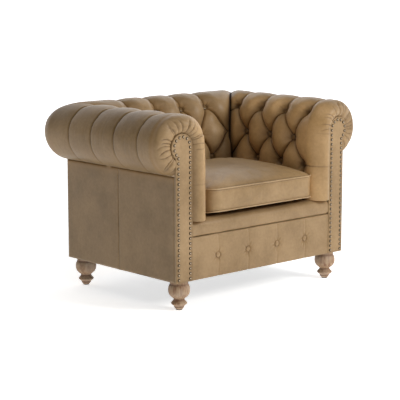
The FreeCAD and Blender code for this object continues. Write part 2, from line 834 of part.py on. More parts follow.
cushion_front = front + size("cushion_setback")
cushion_back = cushion_front + size("cushion_depth")
cushion_middle_y = (cushion_front + cushion_back) / 2


def cushion_section(name, height, draw_in):
    """A level section of the cushion: a rectangle with round corners, drawn in all round."""
    sketch = doc.addObject("Sketcher::SketchObject", name)
    bind(sketch, "Placement.Base.z", height)
    corner = size("cushion_corner")
    left = size("cushion_offset") + size("cushion_width") / 2 - draw_in
    right = size("cushion_offset") - size("cushion_width") / 2 + draw_in
    near = cushion_front + draw_in
    far = cushion_back - draw_in
    draw(sketch, [
        (right + corner, near), (left - corner, near),
        Arc((left - corner, near + corner)), (left, near + corner),
        (left, far - corner),
        Arc((left - corner, far - corner)), (left - corner, far),
        (right + corner, far),
        Arc((right + corner, far - corner)), (right, far - corner),
        (right, near + corner),
        Arc((right + corner, near + corner)),
    ])
    return sketch


def cushion_block(name, skin):
    """The cushion as one block: straight sides, then a crown in two slopes."""
    piping = size("piping_radius") * 2
    levels = [(size("cushion_bottom") + skin, 0), (size("cushion_edge"), 0),
              (size("cushion_shoulder") - skin, size("shoulder_slope")),
              (size("cushion_crown") - skin, size("crown_slope"))]
    block = doc.addObject("Part::Loft", name)
    block.Sections = [cushion_section(f"{name}_level_{number}", height, piping + skin + draw_in)
                      for number, (height, draw_in) in enumerate(levels)]
    block.Solid = True
    block.Ruled = True
    return block


cushion_outer = cushion_block("cushion_outer", nothing)
cushion_core = keep("cushion_core", cushion_block("cushion_core", leather))
cushion_skin = cut("cushion_skin", cushion_outer, cushion_core)
boxing_low = size("cushion_bottom") + leather
boxing_high = size("cushion_edge")
boxing_join = cushion_back - size("zip_panel_return")
cushion_zones = {
    "cushion_top_panel": ((front, back), (boxing_high, size("overall_height"))),
    "cushion_bottom_panel": ((front, back), (size("wall_bottom"), boxing_low)),
    "cushion_boxing": ((front, boxing_join), (boxing_low, boxing_high)),
    "cushion_zip_panel": ((boxing_join, back), (boxing_low, boxing_high)),
}
for name, (y_zone, z_zone) in cushion_zones.items():
    zone = box(f"{name}_zone", across(half_width), y_zone, z_zone)
    keep(name, common(name, cushion_skin, zone))


def piping_loop(height):
    """A thin welt round the cushion, just outside its boxing."""
    radius = size("piping_radius").value
    low_x = size("cushion_offset").value - size("cushion_width").value / 2 + radius
    high_x = size("cushion_offset").value + size("cushion_width").value / 2 - radius
    low_y = cushion_front.value + radius
    high_y = cushion_back.value - radius
    bend = size("cushion_corner").value + radius
    half_turn = bend * (1 - math.sqrt(0.5))
    corners = [
        (Vector(high_x - bend, low_y, height), Vector(high_x - half_turn, low_y + half_turn, height),
         Vector(high_x, low_y + bend, height)),
        (Vector(high_x, high_y - bend, height), Vector(high_x - half_turn, high_y - half_turn, height),
         Vector(high_x - bend, high_y, height)),
        (Vector(low_x + bend, high_y, height), Vector(low_x + half_turn, high_y - half_turn, height),
         Vector(low_x, high_y - bend, height)),
        (Vector(low_x, low_y + bend, height), Vector(low_x + half_turn, low_y + half_turn, height),
         Vector(low_x + bend, low_y, height)),
    ]
    edges = []
    for number, (start, middle, finish) in enumerate(corners):
        before = corners[number - 1][2]
        edges.append(Part.LineSegment(before, start).toShape())
        edges.append(Part.Arc(start, middle, finish).toShape())
    path = Part.Wire(edges)
    start = edges[0].Vertexes[0].Point
    section = Part.Wire(Part.makeCircle(radius - 0.1, start, corners[0][0] - start))
    return path.makePipeShell([section], True, False)


keep("cushion_piping", solids("cushion_piping",
                              [piping_loop(boxing_low.value + 1), piping_loop(boxing_high.value - 1)]))

boxing_back = cushion_back - size("piping_radius") * 2
zip_height = (boxing_low + boxing_high) / 2
ZIP_HALF_HEIGHT = 3
ZIP_THICKNESS = 1.6
zip_reach = size("zip_length") / 2
zip_span = (size("cushion_offset") - zip_reach, size("cushion_offset") + zip_reach)
keep("zip_chain", box("zip_chain", zip_span, (boxing_back, boxing_back + ZIP_THICKNESS),
                      (zip_height - ZIP_HALF_HEIGHT, zip_height + ZIP_HALF_HEIGHT)))
slider_back = boxing_back.value + ZIP_THICKNESS + 0.3
slider_x = zip_span[1].value - 6
slider_body = Part.makeBox(9, 2.5, 10, Vector(slider_x - 4.5, slider_back, zip_height.value - 5))
pull_tab = Part.makeBox(6, 1.2, 24, Vector(slider_x - 3, slider_back + 0.6, zip_height.value - 28))
keep("zip_slider", solids("zip_slider", [slider_body.fuse(pull_tab).removeSplitter()]))


# ---------------------------------------------------------------- check and write

doc.recompute()
troubled = [item.Name for item in doc.Objects if "Invalid" in item.State or "Error" in item.State]
if troubled:
    raise SystemExit(f"objects that failed to build: {troubled}")
for name, piece in pieces.items():
    if piece.Shape.isNull() or not piece.Shape.isValid():
        raise SystemExit(f"{name} has no valid shape")
    if not piece.Shape.Solids:
        raise SystemExit(f"{name} holds no solid")

os.makedirs("parts", exist_ok=True)
for name, piece in pieces.items():
    piece.Shape.exportStep(os.path.join("parts", f"{name}.step"))
whole = Part.makeCompound([piece.Shape for piece in pieces.values()]).BoundBox
print(f"{len(pieces)} pieces, {whole.XLength:.1f} x {whole.YLength:.1f} x {whole.ZLength:.1f} mm, "
      f"from {whole.XMin:.1f}, {whole.YMin:.1f}, {whole.ZMin:.1f}")
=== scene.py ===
import json
import math
import random

import bpy
import numpy as np
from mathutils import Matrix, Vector


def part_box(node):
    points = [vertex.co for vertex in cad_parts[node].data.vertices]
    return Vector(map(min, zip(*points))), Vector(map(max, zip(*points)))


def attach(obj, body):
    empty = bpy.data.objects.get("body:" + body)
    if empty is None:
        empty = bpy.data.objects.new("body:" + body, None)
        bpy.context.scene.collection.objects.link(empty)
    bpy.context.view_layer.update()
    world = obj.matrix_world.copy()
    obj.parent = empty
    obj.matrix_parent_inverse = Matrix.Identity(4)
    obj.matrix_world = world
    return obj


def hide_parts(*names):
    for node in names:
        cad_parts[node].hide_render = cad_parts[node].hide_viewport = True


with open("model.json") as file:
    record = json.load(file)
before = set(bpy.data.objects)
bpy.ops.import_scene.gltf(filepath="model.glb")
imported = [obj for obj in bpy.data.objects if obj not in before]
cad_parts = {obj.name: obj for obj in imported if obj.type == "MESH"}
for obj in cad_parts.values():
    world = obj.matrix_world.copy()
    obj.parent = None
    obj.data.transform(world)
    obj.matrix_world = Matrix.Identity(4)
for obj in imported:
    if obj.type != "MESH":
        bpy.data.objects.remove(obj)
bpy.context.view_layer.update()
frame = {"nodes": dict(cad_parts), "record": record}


# ---------------------------------------------------------------- the room
# The chair stands on a plain pale studio floor, under a large soft light from the front
# right and another above, and is seen from a little above, off its right front corner.

view_turn = math.radians(-42.475)
view_tilt = math.radians(9.5)
view_distance = 5.6365
view_target = Vector((0.0, -0.0407, 0.35))
lens = bpy.data.cameras.new("studio_camera")
lens.lens = 125.75
lens.sensor_width = 36.0
lens.shift_x = -0.01534
lens.shift_y = -0.01026
lens.clip_end = 60.0
camera = bpy.data.objects.new("studio_camera", lens)
bpy.context.scene.collection.objects.link(camera)
from_target = Vector((math.sin(view_turn) * math.cos(view_tilt), -math.cos(view_turn) * math.cos(view_tilt),
                      math.sin(view_tilt)))
camera.location = view_target + from_target * view_distance
camera.rotation_euler = (-from_target).to_track_quat("-Z", "Y").to_euler()
bpy.context.scene.camera = camera
bpy.context.scene.view_settings.view_transform = "Standard"


def soft_light(name, place, aim, wide, high, power, tint):
    lamp = bpy.data.lights.new(name, "AREA")
    lamp.shape = "RECTANGLE"
    lamp.size = wide
    lamp.size_y = high
    lamp.energy = power
    lamp.color = tint
    holder = bpy.data.objects.new(name, lamp)
    bpy.context.scene.collection.objects.link(holder)
    holder.location = place
    holder.rotation_euler = (Vector(aim) - Vector(place)).to_track_quat("-Z", "Y").to_euler()


soft_light("key_light", (1.7, -3.9, 2.7), (0.0, 0.0, 0.4), 1.4, 1.4, 128.0, (1.0, 0.98, 0.945))
soft_light("top_light", (-0.9, -1.1, 3.4), (0.0, 0.0, 0.4), 2.0, 2.0, 20.0, (1.0, 0.97, 0.91))

world = bpy.data.worlds.new("studio_air")
world.use_nodes = True
world.node_tree.nodes["Background"].inputs["Color"].default_value = (1.0, 1.0, 1.0, 1.0)
world.node_tree.nodes["Background"].inputs["Strength"].default_value = 0.10
bpy.context.scene.world = world

floor_paint = bpy.data.materials.new("floor_paint")
floor_paint.use_nodes = True
floor_shader = floor_paint.node_tree.nodes["Principled BSDF"]
floor_shader.inputs["Base Color"].default_value = (0.93, 0.93, 0.93, 1.0)
floor_shader.inputs["Roughness"].default_value = 0.9
floor_shader.inputs["Emission Color"].default_value = (1.0, 1.0, 1.0, 1.0)
floor_place = floor_paint.node_tree.nodes.new("ShaderNodeTexCoord")
floor_reach = floor_paint.node_tree.nodes.new("ShaderNodeVectorMath")
floor_reach.operation = "LENGTH"
floor_glow = floor_paint.node_tree.nodes.new("ShaderNodeMapRange")
floor_glow.inputs["From Min"].default_value = 1.0
floor_glow.inputs["From Max"].default_value = 5.0
floor_glow.inputs["To Min"].default_value = 0.66
floor_glow.inputs["To Max"].default_value = 0.96
floor_paint.node_tree.links.new(floor_place.outputs["Object"], floor_reach.inputs[0])
floor_paint.node_tree.links.new(floor_reach.outputs["Value"], floor_glow.inputs["Value"])
floor_paint.node_tree.links.new(floor_glow.outputs["Result"], floor_shader.inputs["Emission Strength"])
floor_mesh = bpy.data.meshes.new("studio_floor")
sweep = [(-20.0, 0.0), (12.0, 0.0), (14.5, 0.7), (16.0, 2.4), (16.6, 5.0), (16.6, 26.0)]
floor_points = []
for side in (-34.0, 34.0):
    floor_points += [(side, along, rise) for along, rise in sweep]
floor_faces = [(i, i + len(sweep), i + len(sweep) + 1, i + 1) for i in range(len(sweep) - 1)]
turned_floor = []
for x, y, z in floor_points:
    turned_floor.append((x * math.cos(view_turn) - y * math.sin(view_turn),
                         x * math.sin(view_turn) + y * math.cos(view_turn), z))
floor_mesh.from_pydata(turned_floor, [], floor_faces)
floor_mesh.materials.append(floor_paint)
for polygon in floor_mesh.polygons:
    polygon.use_smooth = True
floor = bpy.data.objects.new("studio_floor", floor_mesh)
bpy.context.scene.collection.objects.link(floor)


# ---------------------------------------------------------------- the arms
# Each arm is one tan hide drawn over foam and hair, from the seam under the roll, over the
# roll and down to the seat. It is pleated into diamonds, buttoned through to the webbing,
# and gathered at the front round the scroll facing.

half_width = 0.450
back_plane = 0.289
roll_radius = 0.115
roll_inset = 0.030
roll_height = 0.620
core_radius = 0.070
wall_bottom = 0.336
arm_wall = 0.150
arm_hollow = 0.105
arm_front = -0.367
wrap_depth = 0.040
tuft_pitch = 0.137
middle_row = 0.577
low_row = 0.474
first_tuft = {1: -0.281, -1: -0.246}
top_row_turn = math.radians(39.0)
arm_button_radius = 0.078
wall_button_inset = 0.118
under_turn = math.degrees(math.acos(roll_inset / roll_radius))


def new_finish(name):
    """A new material with its node tree, its shader and the place that its patterns read."""
    finish = bpy.data.materials.new(name)
    finish.use_nodes = True
    tree = finish.node_tree
    place = tree.nodes.new("ShaderNodeTexCoord").outputs["Object"]
    return finish, tree, tree.nodes["Principled BSDF"], place


def texture(tree, kind, place, **sizes):
    """A pattern of some kind read at a place, with its sizes set."""
    node = tree.nodes.new("ShaderNodeTex" + kind)
    for label, size in sizes.items():
        node.inputs[label.capitalize()].default_value = size
    tree.links.new(place, node.inputs["Vector"])
    return node


def ramp(tree, grey, *stops):
    """Colours over a grey pattern, from (position, colour) stops in order."""
    node = tree.nodes.new("ShaderNodeValToRGB")
    ends = node.color_ramp.elements
    for end, (position, colour) in ((ends[0], stops[0]), (ends[1], stops[-1])):
        end.position = position
        end.color = (*colour, 1.0)
    for position, colour in stops[1:-1]:
        ends.new(position).color = (*colour, 1.0)
    tree.links.new(grey, node.inputs["Fac"])
    return node.outputs["Color"]


def fitted(tree, grey, given, wanted):
    """A grey pattern stretched from one range of values to another."""
    node = tree.nodes.new("ShaderNodeMapRange")
    for label, value in zip(("From Min", "From Max", "To Min", "To Max"), (*given, *wanted)):
        node.inputs[label].default_value = value
    tree.links.new(grey, node.inputs["Value"])
    return node.outputs["Result"]


def mixed(tree, share, under, over, blend="MIX"):
    """One colour laid over another by a share; each is a value or another node's output."""
    node = tree.nodes.new("ShaderNodeMix")
    node.data_type = "RGBA"
    node.blend_type = blend
    for socket, given in ((0, share), (6, under), (7, over)):
        if isinstance(given, bpy.types.NodeSocket):
            tree.links.new(given, node.inputs[socket])
        else:
            node.inputs[socket].default_value = given
    return node.outputs[2]


def mark_of(tree, label):
    """A mark that the mesh carries at each point, from 0 to 1."""
    node = tree.nodes.new("ShaderNodeAttribute")
    node.attribute_name = label
    return node.outputs["Fac"]


def bump(tree, height, strength, distance, under=None):
    """A bump from a height pattern, over another bump if there is one."""
    node = tree.nodes.new("ShaderNodeBump")
    node.inputs["Strength"].default_value = strength
    node.inputs["Distance"].default_value = distance
    tree.links.new(height, node.inputs["Height"])
    if under is not None:
        tree.links.new(under, node.inputs["Normal"])
    return node.outputs["Normal"]


def tan_hide(name, light, dark, gloss):
    """A semi-aniline hide: cloudy tan and fine grain, with painted shade and painted light laid on by the
    marks: golden-brown in the hollows, near-black in the folds, darker on outer sides, lighter on the
    insides of the arms.
    """
    finish, tree, shader, place = new_finish(name)
    clouds = texture(tree, "Noise", place, scale=5.5, detail=5.0, roughness=0.62)
    specks = texture(tree, "Noise", place, scale=95.0, detail=4.0)
    cloudy = ramp(tree, clouds.outputs["Fac"], (0.36, dark), (0.62, light))
    speckles = ramp(tree, specks.outputs["Fac"], (0.25, (0.89, 0.88, 0.87)), (0.75, (1.04, 1.04, 1.04)))
    tone = mixed(tree, 1.0, cloudy, speckles, "MULTIPLY")
    # Painted shade: darker and greyer where a piece is marked outer.
    tone = mixed(tree, mark_of(tree, "outer"), tone, (0.75, 0.74, 0.72, 1.0), "MULTIPLY")
    # Painted light: lighter and more golden where the arms' inner walls are marked.
    tone = mixed(tree, mark_of(tree, "inside"), tone, (1.68, 1.60, 1.46, 1.0), "MULTIPLY")
    # Painted shade: golden-brown in the hollows.
    tone = mixed(tree, mark_of(tree, "hollow"), tone, (0.295, 0.168, 0.060, 1.0))
    # Painted shade: near-black along the folds.
    tone = mixed(tree, mark_of(tree, "fold"), tone, (0.035, 0.016, 0.006, 1.0))
    tree.links.new(tone, shader.inputs["Base Color"])
    shine = fitted(tree, clouds.outputs["Fac"], (0.3, 0.7), (gloss - 0.06, gloss + 0.08))
    tree.links.new(shine, shader.inputs["Roughness"])
    pores = texture(tree, "Voronoi", place, scale=620.0)
    creasing = texture(tree, "Noise", place, scale=42.0, detail=6.0, roughness=0.65)
    pitted = bump(tree, pores.outputs["Distance"], 0.22, 0.0006)
    creased = bump(tree, creasing.outputs["Fac"], 0.24, 0.0022, pitted)
    tree.links.new(creased, shader.inputs["Normal"])
    shader.inputs["Specular IOR Level"].default_value = 0.33
    shader.inputs["Sheen Weight"].default_value = 0.03
    shader.inputs["Sheen Roughness"].default_value = 0.45
    shader.inputs["Sheen Tint"].default_value = (0.86, 0.86, 0.90, 1.0)
    return finish


chair_hide = tan_hide("tan_hide", (0.375, 0.249, 0.126), (0.272, 0.173, 0.078), 0.43)


def even_steps(path, count):
    """The same line, with its points at even steps along it."""
    path = np.asarray(path, float)
    steps = np.hypot(*np.diff(path, axis=0).T)
    along = np.concatenate([[0.0], np.cumsum(steps)])
    wanted = np.linspace(0.0, along[-1], count)
    return np.stack([np.interp(wanted, along, path[:, k]) for k in range(2)], axis=1), wanted


def hide_section(wall_points, count, soften):
    """Inset and height of the leather: from the seam under the roll, over it and down the wall."""
    turn = np.radians(np.linspace(-under_turn, 180.0, 240))
    roll = np.column_stack([roll_inset - roll_radius * np.cos(turn),
                            roll_height + roll_radius * np.sin(turn)])
    section, along = even_steps(np.vstack([roll, wall_points]), count)
    reach = int(soften / (along[1] - along[0]))
    if reach > 0:
        kernel = np.hanning(2 * reach + 3)[1:-1]
        kernel /= kernel.sum()
        padded = np.pad(section, ((reach, reach), (0, 0)), mode="reflect", reflect_type="odd")
        section = np.stack([np.convolve(padded[:, k], kernel, mode="valid") for k in range(2)], axis=1)
    way = np.gradient(section, axis=0)
    way /= np.linalg.norm(way, axis=1)[:, None]
    outward = np.stack([-way[:, 1], way[:, 0]], axis=1)
    return section, outward, along


def hollow_section(hollow, radius):
    """The inner side of the padding: up the wall and round the heart of the roll."""
    turn = np.radians(np.linspace(180.0, -math.degrees(math.acos(roll_inset / radius)), 12))
    heart = [(roll_inset - radius * math.cos(a), roll_height + radius * math.sin(a)) for a in turn]
    return np.array([(hollow, wall_bottom), (hollow, wall_bottom + 0.14)] + heart)


def rolled_edge(away, width):
    """From 1 at an edge to 0 at some width from it, along a quarter of a circle."""
    return 1.0 - np.sqrt(1.0 - (1.0 - np.clip(away / width, 0.0, 1.0)) ** 2)


def tufting(u, v, creases, seats, full, swell=0.0):
    """Depth below the pillow tops, with the marks for painted shade: how deep in a hollow and how near a
    fold the hide is at each point.
    """
    plump = np.ones_like(u)
    thin = np.zeros_like(u)
    lip = np.zeros_like(u)
    fold = np.zeros_like(u)
    for points, spread in creases:
        for (u0, v0, broad0, line0), (u1, v1, broad1, line1) in zip(points[:-1], points[1:]):
            du = u1 - u0
            dv = v1 - v0
            span = math.hypot(du, dv)
            t = np.clip(((u - u0) * du + (v - v0) * dv) / span ** 2, 0.0, 1.0)
            off_u = u - u0 - du * t
            off_v = v - v0 - dv * t
            away = np.hypot(off_u, off_v)
            side = np.sign(du * off_v - dv * off_u) * away
            broad = broad0 + (broad1 - broad0) * t
            line = line0 + (line1 - line0) * t
            plump *= 1.0 - broad * rolled_edge(away, spread)
            thin = np.maximum(thin, line * np.exp(-(away / 0.0034) ** 2))
            lip = np.maximum(lip, line * np.exp(-((side - 0.0062) / 0.0036) ** 2))
            fold = np.maximum(fold, np.minimum(line * 0.95, 1.0) * np.exp(-(away / 0.0022) ** 2))
    depth = full * (1.0 - plump) + 0.0036 * thin - 0.0014 * lip - swell * plump
    # Painted shade: the hollow mark grows where the pillows sink between creases.
    hollow = np.clip((1.0 - plump) * 1.15, 0.0, 1.0) ** 1.6
    for number, (seat_u, seat_v, reach) in enumerate(seats):
        away = np.hypot(u - seat_u, v - seat_v)
        bearing = np.arctan2(v - seat_v, u - seat_u)
        pull = max(reach - full, 0.0)
        depth = depth + pull * np.exp(-(away / 0.024) ** 2)
        gathers = np.cos(bearing * 9 + number * 1.7) + 0.6 * np.cos(bearing * 14 + number * 2.9)
        depth = depth + 0.0010 * gathers * np.exp(-((away - 0.020) / 0.010) ** 2)
        sunk = np.clip((0.0145 - away) / 0.004, 0.0, 1.0)
        depth = depth * (1.0 - sunk) + np.maximum(depth, reach + 0.0015) * sunk
        # Painted shade round each button: hollow and fold marks in its dimple.
        hollow = np.maximum(hollow, 0.95 * np.exp(-(away / 0.020) ** 2))
        fold = np.maximum(fold, 0.80 * np.exp(-(away / 0.0155) ** 4))
    return depth, hollow, fold


def mitred(depth, hollow, fold, gap, v):
    """The hide drawn down into the fold of a corner's mitre, deepest on the seat's side, with painted shade
    in the fold.
    """
    to_mitre = gap * 0.72
    inner = np.clip((v - 0.20) / 0.12, 0.0, 1.0)
    pull = (0.05 + 0.95 * inner) * rolled_edge(to_mitre, 0.045)
    depth = depth + 0.024 * pull * np.clip(1.0 - depth / 0.04, 0.2, 1.0)
    hollow = np.maximum(hollow, pull ** 1.5)
    fold = np.maximum(fold, (0.2 + 0.8 * inner) * np.exp(-(to_mitre / 0.005) ** 2))
    return depth, hollow, fold


def nearest_step(section, along, place):
    """How far along the section it comes nearest to a place."""
    return along[np.argmin(np.hypot(section[:, 0] - place[0], section[:, 1] - place[1]))]


def new_piece(name, points, faces, finish):
    """A smooth mesh object from points and faces, in one finish."""
    mesh = bpy.data.meshes.new(name)
    mesh.from_pydata(points, [], faces)
    mesh.polygons.foreach_set("use_smooth", [True] * len(faces))
    mesh.materials.append(finish)
    piece = bpy.data.objects.new(name, mesh)
    bpy.context.scene.collection.objects.link(piece)
    return piece


def mark(piece, label, values):
    """A value at each point of a piece, for its finish to read."""
    layer = piece.data.attributes.new(label, "FLOAT", "POINT")
    layer.data.foreach_set("value", np.asarray(values, np.float32).reshape(-1))


def hide_mesh(name, points, marks, finish, mirrored):
    """A closed tube of leather over padding from a grid of points, one loop to each column."""
    loops, ring = points.shape[:2]
    place = points.reshape(-1, 3).copy()
    here = np.arange(loops * ring).reshape(loops, ring)
    ahead = np.roll(here, -1, axis=1)
    quads = np.stack([here[:-1], here[1:], ahead[1:], ahead[:-1]], axis=-1).reshape(-1, 4).tolist()
    faces = quads + [here[0].tolist(), here[-1][::-1].tolist()]
    if mirrored:
        place[:, 0] *= -1.0
        faces = [face[::-1] for face in faces]
    piece = new_piece(name, place.tolist(), faces, finish)
    piece.data.polygons.foreach_set("use_smooth", [True] * len(quads) + [False, False])
    for label, values in marks.items():
        mark(piece, label, np.hstack([values, np.zeros((loops, ring - values.shape[1]))]))
    return piece


def around_corner(inset, outward, u, height, lift):
    """Places along the arm; outside the corner of the body they turn about it."""
    swept = (inset < 0.0) & (u > back_plane)
    angle = np.where(swept, (u - back_plane) / np.maximum(-inset, 1e-4), 0.0)
    reach = inset + outward[..., 0] * lift
    rise = height + outward[..., 1] * lift
    x = np.where(swept, half_width - reach * np.cos(angle), half_width - reach)
    y = np.where(swept, back_plane - reach * np.sin(angle), u)
    return x, y, rise, reach


def arm_creases(first, section, along, roll_row, mid_row, bottom_row, dice):
    """The pleats between an arm's buttons, over its roll, down to the seat and at its stile."""
    top = nearest_step(section, along, (roll_inset, roll_height + roll_radius))
    outer = nearest_step(section, along, (roll_inset - roll_radius, roll_height))
    low = along[-1]
    creases = []
    for i in range(4):
        u = first + i * tuft_pitch
        tight = dice.uniform(0.75, 1.1)
        lost = dice.uniform(0.15, 0.7)
        over = [(u, roll_row, 1.0, 0.9), (u, (roll_row + top) / 2, 0.66, 0.95), (u, top, 0.34, 0.9 * tight),
                (u + 0.004, (top + outer) / 2, 0.20, 1.0 * tight), (u + 0.002, outer, 0.12, 0.9 * tight),
                (u - 0.003, outer * 0.5, 0.09, 0.75 * lost), (u - 0.002, 0.0, 0.13, 0.35 * lost)]
        creases.append((over, 0.056))
        creases.append(([(u, roll_row, 1.0, 0.9), (u + tuft_pitch / 2, mid_row, 1.0, 0.9)], 0.060))
        if i > 0:
            creases.append(([(u, roll_row, 1.0, 0.9), (u - tuft_pitch / 2, mid_row, 1.0, 0.9)], 0.060))
    for i in range(4):
        u = first + i * tuft_pitch
        creases.append(([(u, bottom_row, 1.0, 0.9), (u, low, 0.8, 0.7)], 0.056))
        if i < 3:
            creases.append(([(u, bottom_row, 1.0, 0.9), (u + tuft_pitch / 2, mid_row, 1.0, 0.9)], 0.060))
        if i > 0:
            creases.append(([(u - tuft_pitch / 2, mid_row, 1.0, 0.9), (u, bottom_row, 1.0, 0.9)], 0.060))
    creases.append(([(first, bottom_row, 1.0, 0.9), (first - 0.03, bottom_row, 0.20, 0.7),
                     (arm_front + 0.012, bottom_row + 0.001, 0.06, 0.45),
                     (first - 0.16, bottom_row + 0.002, 0.02, 0.16)], 0.034))
    creases.append(([(arm_front + wrap_depth - 0.022, mid_row - 0.030, 0.0, 0.1),
                     (arm_front - 0.030, mid_row - 0.026, 0.05, 0.45)], 0.020))
    for i in range(4):
        for k in range(3):
            u = first + (i - 1 + dice.uniform(0.15, 0.85)) * tuft_pitch
            start = outer * dice.uniform(0.35, 0.8)
            end = outer + (top - outer) * dice.uniform(0.1, 0.7)
            if u > arm_front + 0.06:
                middle = (u + dice.uniform(-0.004, 0.004), (start + end) / 2, 0.018, 0.10)
                creases.append(([(u, start, 0.0, 0.02), middle, (u, end, 0.0, 0.02)], 0.014))
    return creases


def gathers_round_facing(dice):
    """Short curved pleats that take up the fullness of the hide at the facing."""
    pleats = []
    count = 18
    first_pleat = 0.018
    last_pleat = roll_radius * math.radians(under_turn + 172.0)
    edge = arm_front - 0.036
    for i in range(count):
        v = first_pleat + (last_pleat - first_pleat) * (i + dice.uniform(-0.36, 0.36)) / (count - 1)
        reach = dice.uniform(0.036, 0.064)
        bend = dice.choice((-1, 1)) * dice.uniform(0.005, 0.020)
        strong = dice.uniform(0.55, 1.15)
        pleats.append(([(edge, v, 0.17, 0.40 * strong),
                        (edge + reach * 0.35, v + bend * 0.20, 0.17, 0.58 * strong),
                        (edge + reach * 0.70, v + bend * 0.65, 0.09, 0.50 * strong),
                        (edge + reach, v + bend * 1.4, 0.0, 0.0)], 0.020))
    return pleats


def top_row(section, along):
    """How far along the section the top row of buttons draws the hide down."""
    return nearest_step(section, along, (roll_inset + roll_radius * math.cos(top_row_turn),
                                         roll_height + roll_radius * math.sin(top_row_turn)))


def upholstered_arm(side):
    """One arm's hide: the length along the arm, then the wrap round its front to the facing."""
    side_name = "left" if side == 1 else "right"
    dice = random.Random(40 + side)
    first = first_tuft[side]
    section, outward, along = hide_section([(arm_wall - 0.001, 0.56), (arm_wall, wall_bottom)], 270, 0.012)
    rows = len(along)
    roll_row = top_row(section, along)
    mid_row = nearest_step(section, along, (arm_wall - 0.003, middle_row))
    bottom_row = nearest_step(section, along, (arm_wall - 0.002, low_row))
    seats = [(first + i * tuft_pitch, roll_row, roll_radius - arm_button_radius) for i in range(4)]
    seats += [(first + (i + 0.5) * tuft_pitch, mid_row, 0.0295) for i in range(3)]
    seats += [(first + i * tuft_pitch, bottom_row, 0.0305) for i in range(3)]
    creases = arm_creases(first, section, along, roll_row, mid_row, bottom_row, dice)
    creases += gathers_round_facing(dice)

    straight = 185
    wrap = 26
    start = arm_front + wrap_depth
    share = np.linspace(0.0, 1.0, straight)[:, None]
    inset = np.broadcast_to(section[None, :, 0], (straight, rows))
    height = np.broadcast_to(section[None, :, 1], (straight, rows))
    way_out = np.broadcast_to(outward[None], (straight, rows, 2))
    mitre = np.where(inset < 0.0, back_plane - inset * math.pi / 4, back_plane - inset)
    u = start + (mitre - start) * share
    v = np.broadcast_to(along[None], u.shape)
    inner_half = np.clip((v - 0.34) / 0.08, 0.0, 1.0) * (1.0 - 0.45 * np.clip((v - 0.62) / 0.08, 0.0, 1.0))
    swell = 0.0115 * inner_half * np.clip((u - first + 0.030) / 0.060, 0.0, 1.0)
    depth, hollow, fold = tufting(u, v, creases, seats, 0.0245, swell)
    on_roll = (1.0 - np.clip((along - 0.36) / 0.08, 0.0, 1.0))[None]
    # Painted shade: a golden-brown band along the edge of the ring on the roll.
    hollow = np.maximum(hollow, 0.50 * on_roll * np.exp(-((u - start) / 0.011) ** 2))
    depth = depth + 0.0022 * on_roll * np.exp(-((u - start) / 0.008) ** 2)
    stile_fill = 0.015 * np.clip((along - 0.34) / 0.08, 0.0, 1.0)[None]
    depth = depth - stile_fill * np.exp(-((u - start) / 0.040) ** 2)
    depth, hollow, fold = mitred(depth, hollow, fold, mitre - u, v)
    x, y, z, moved = around_corner(inset, way_out, u, height, -depth)
    tidy = np.clip(1.0 - (mitre - u) / 0.05, 0.0, 1.0)
    y = np.where(inset < 0.0, y, y + (inset - moved) * tidy)

    turn = np.linspace(0.0, 1.0, wrap)[1:, None]
    across_run = 1.0 - np.cos(turn * math.pi / 2) ** (2 / 2.8)
    forward_run = np.sin(turn * math.pi / 2) ** (2 / 2.8)
    stile_share = np.clip((along - 0.24) / 0.14, 0.0, 1.0)[None]
    bulge = (0.005 + 0.021 * stile_share) * np.sin(np.clip(across_run, 0.0, 1.0) * math.pi) ** 0.8
    angle = np.radians(np.linspace(-under_turn, 180.0, 4000))
    v_of_angle = roll_radius * (angle - angle[0])
    edge_inset = np.interp(along, v_of_angle, roll_inset - 0.0495 * np.cos(angle))
    edge_height = np.interp(along, v_of_angle, 0.617 + 0.0495 * np.sin(angle))
    on_wall = along > v_of_angle[-1]
    edge_height[on_wall] = np.minimum(section[on_wall, 1], 0.617)
    edge_inset[on_wall] = 0.0795
    run_in = np.hypot(edge_inset - section[:, 0], edge_height - section[:, 1])
    wrap_inset = section[None, :, 0] + (edge_inset - section[:, 0])[None] * across_run
    wrap_height = section[None, :, 1] + (edge_height - section[:, 1])[None] * across_run
    wrap_u = start - turn * (run_in[None] * 0.62 + wrap_depth * 0.55)
    edge_u = start - (run_in[None] * 0.62 + wrap_depth * 0.55)
    wrap_v = np.broadcast_to(along[None], wrap_u.shape)
    shown_u = wrap_u + (arm_front - 0.036 - edge_u) * turn
    wrap_deep, wrap_hollow, wrap_fold = tufting(shown_u, wrap_v, creases, seats, 0.0245)
    wrap_deep = wrap_deep - stile_fill * (1.0 - turn) + 0.0022 * on_roll * np.exp(-(turn / 0.16) ** 2)
    tuck = np.exp(-(((1.0 - across_run) * run_in[None]) / 0.005) ** 2)
    # Painted shade: dark in the tuck where the hide meets the facing, and golden-brown along the ring's
    # edge.
    wrap_fold = np.maximum(wrap_fold, 0.30 * np.exp(-(((1.0 - across_run) * run_in[None]) / 0.0022) ** 2))
    wrap_hollow = np.maximum(wrap_hollow * 0.8, 0.5 * tuck)
    wrap_hollow = np.maximum(wrap_hollow, 0.50 * on_roll * np.exp(-(turn / 0.22) ** 2))
    lean = np.sin(turn * math.pi / 2)
    upright = np.cos(turn * math.pi / 2)
    wrap_x = half_width - (wrap_inset - outward[None, :, 0] * wrap_deep * upright)
    wrap_y = start - wrap_depth * forward_run - bulge + np.maximum(wrap_deep, 0.0) * lean + 0.0030 * tuck
    wrap_z = wrap_height - outward[None, :, 1] * wrap_deep * upright

    outer_x = np.vstack([wrap_x[::-1], x])
    outer_y = np.vstack([wrap_y[::-1], y])
    outer_z = np.vstack([wrap_z[::-1], z])
    outer_hollow = np.vstack([wrap_hollow[::-1], hollow])
    outer_fold = np.vstack([wrap_fold[::-1], fold])

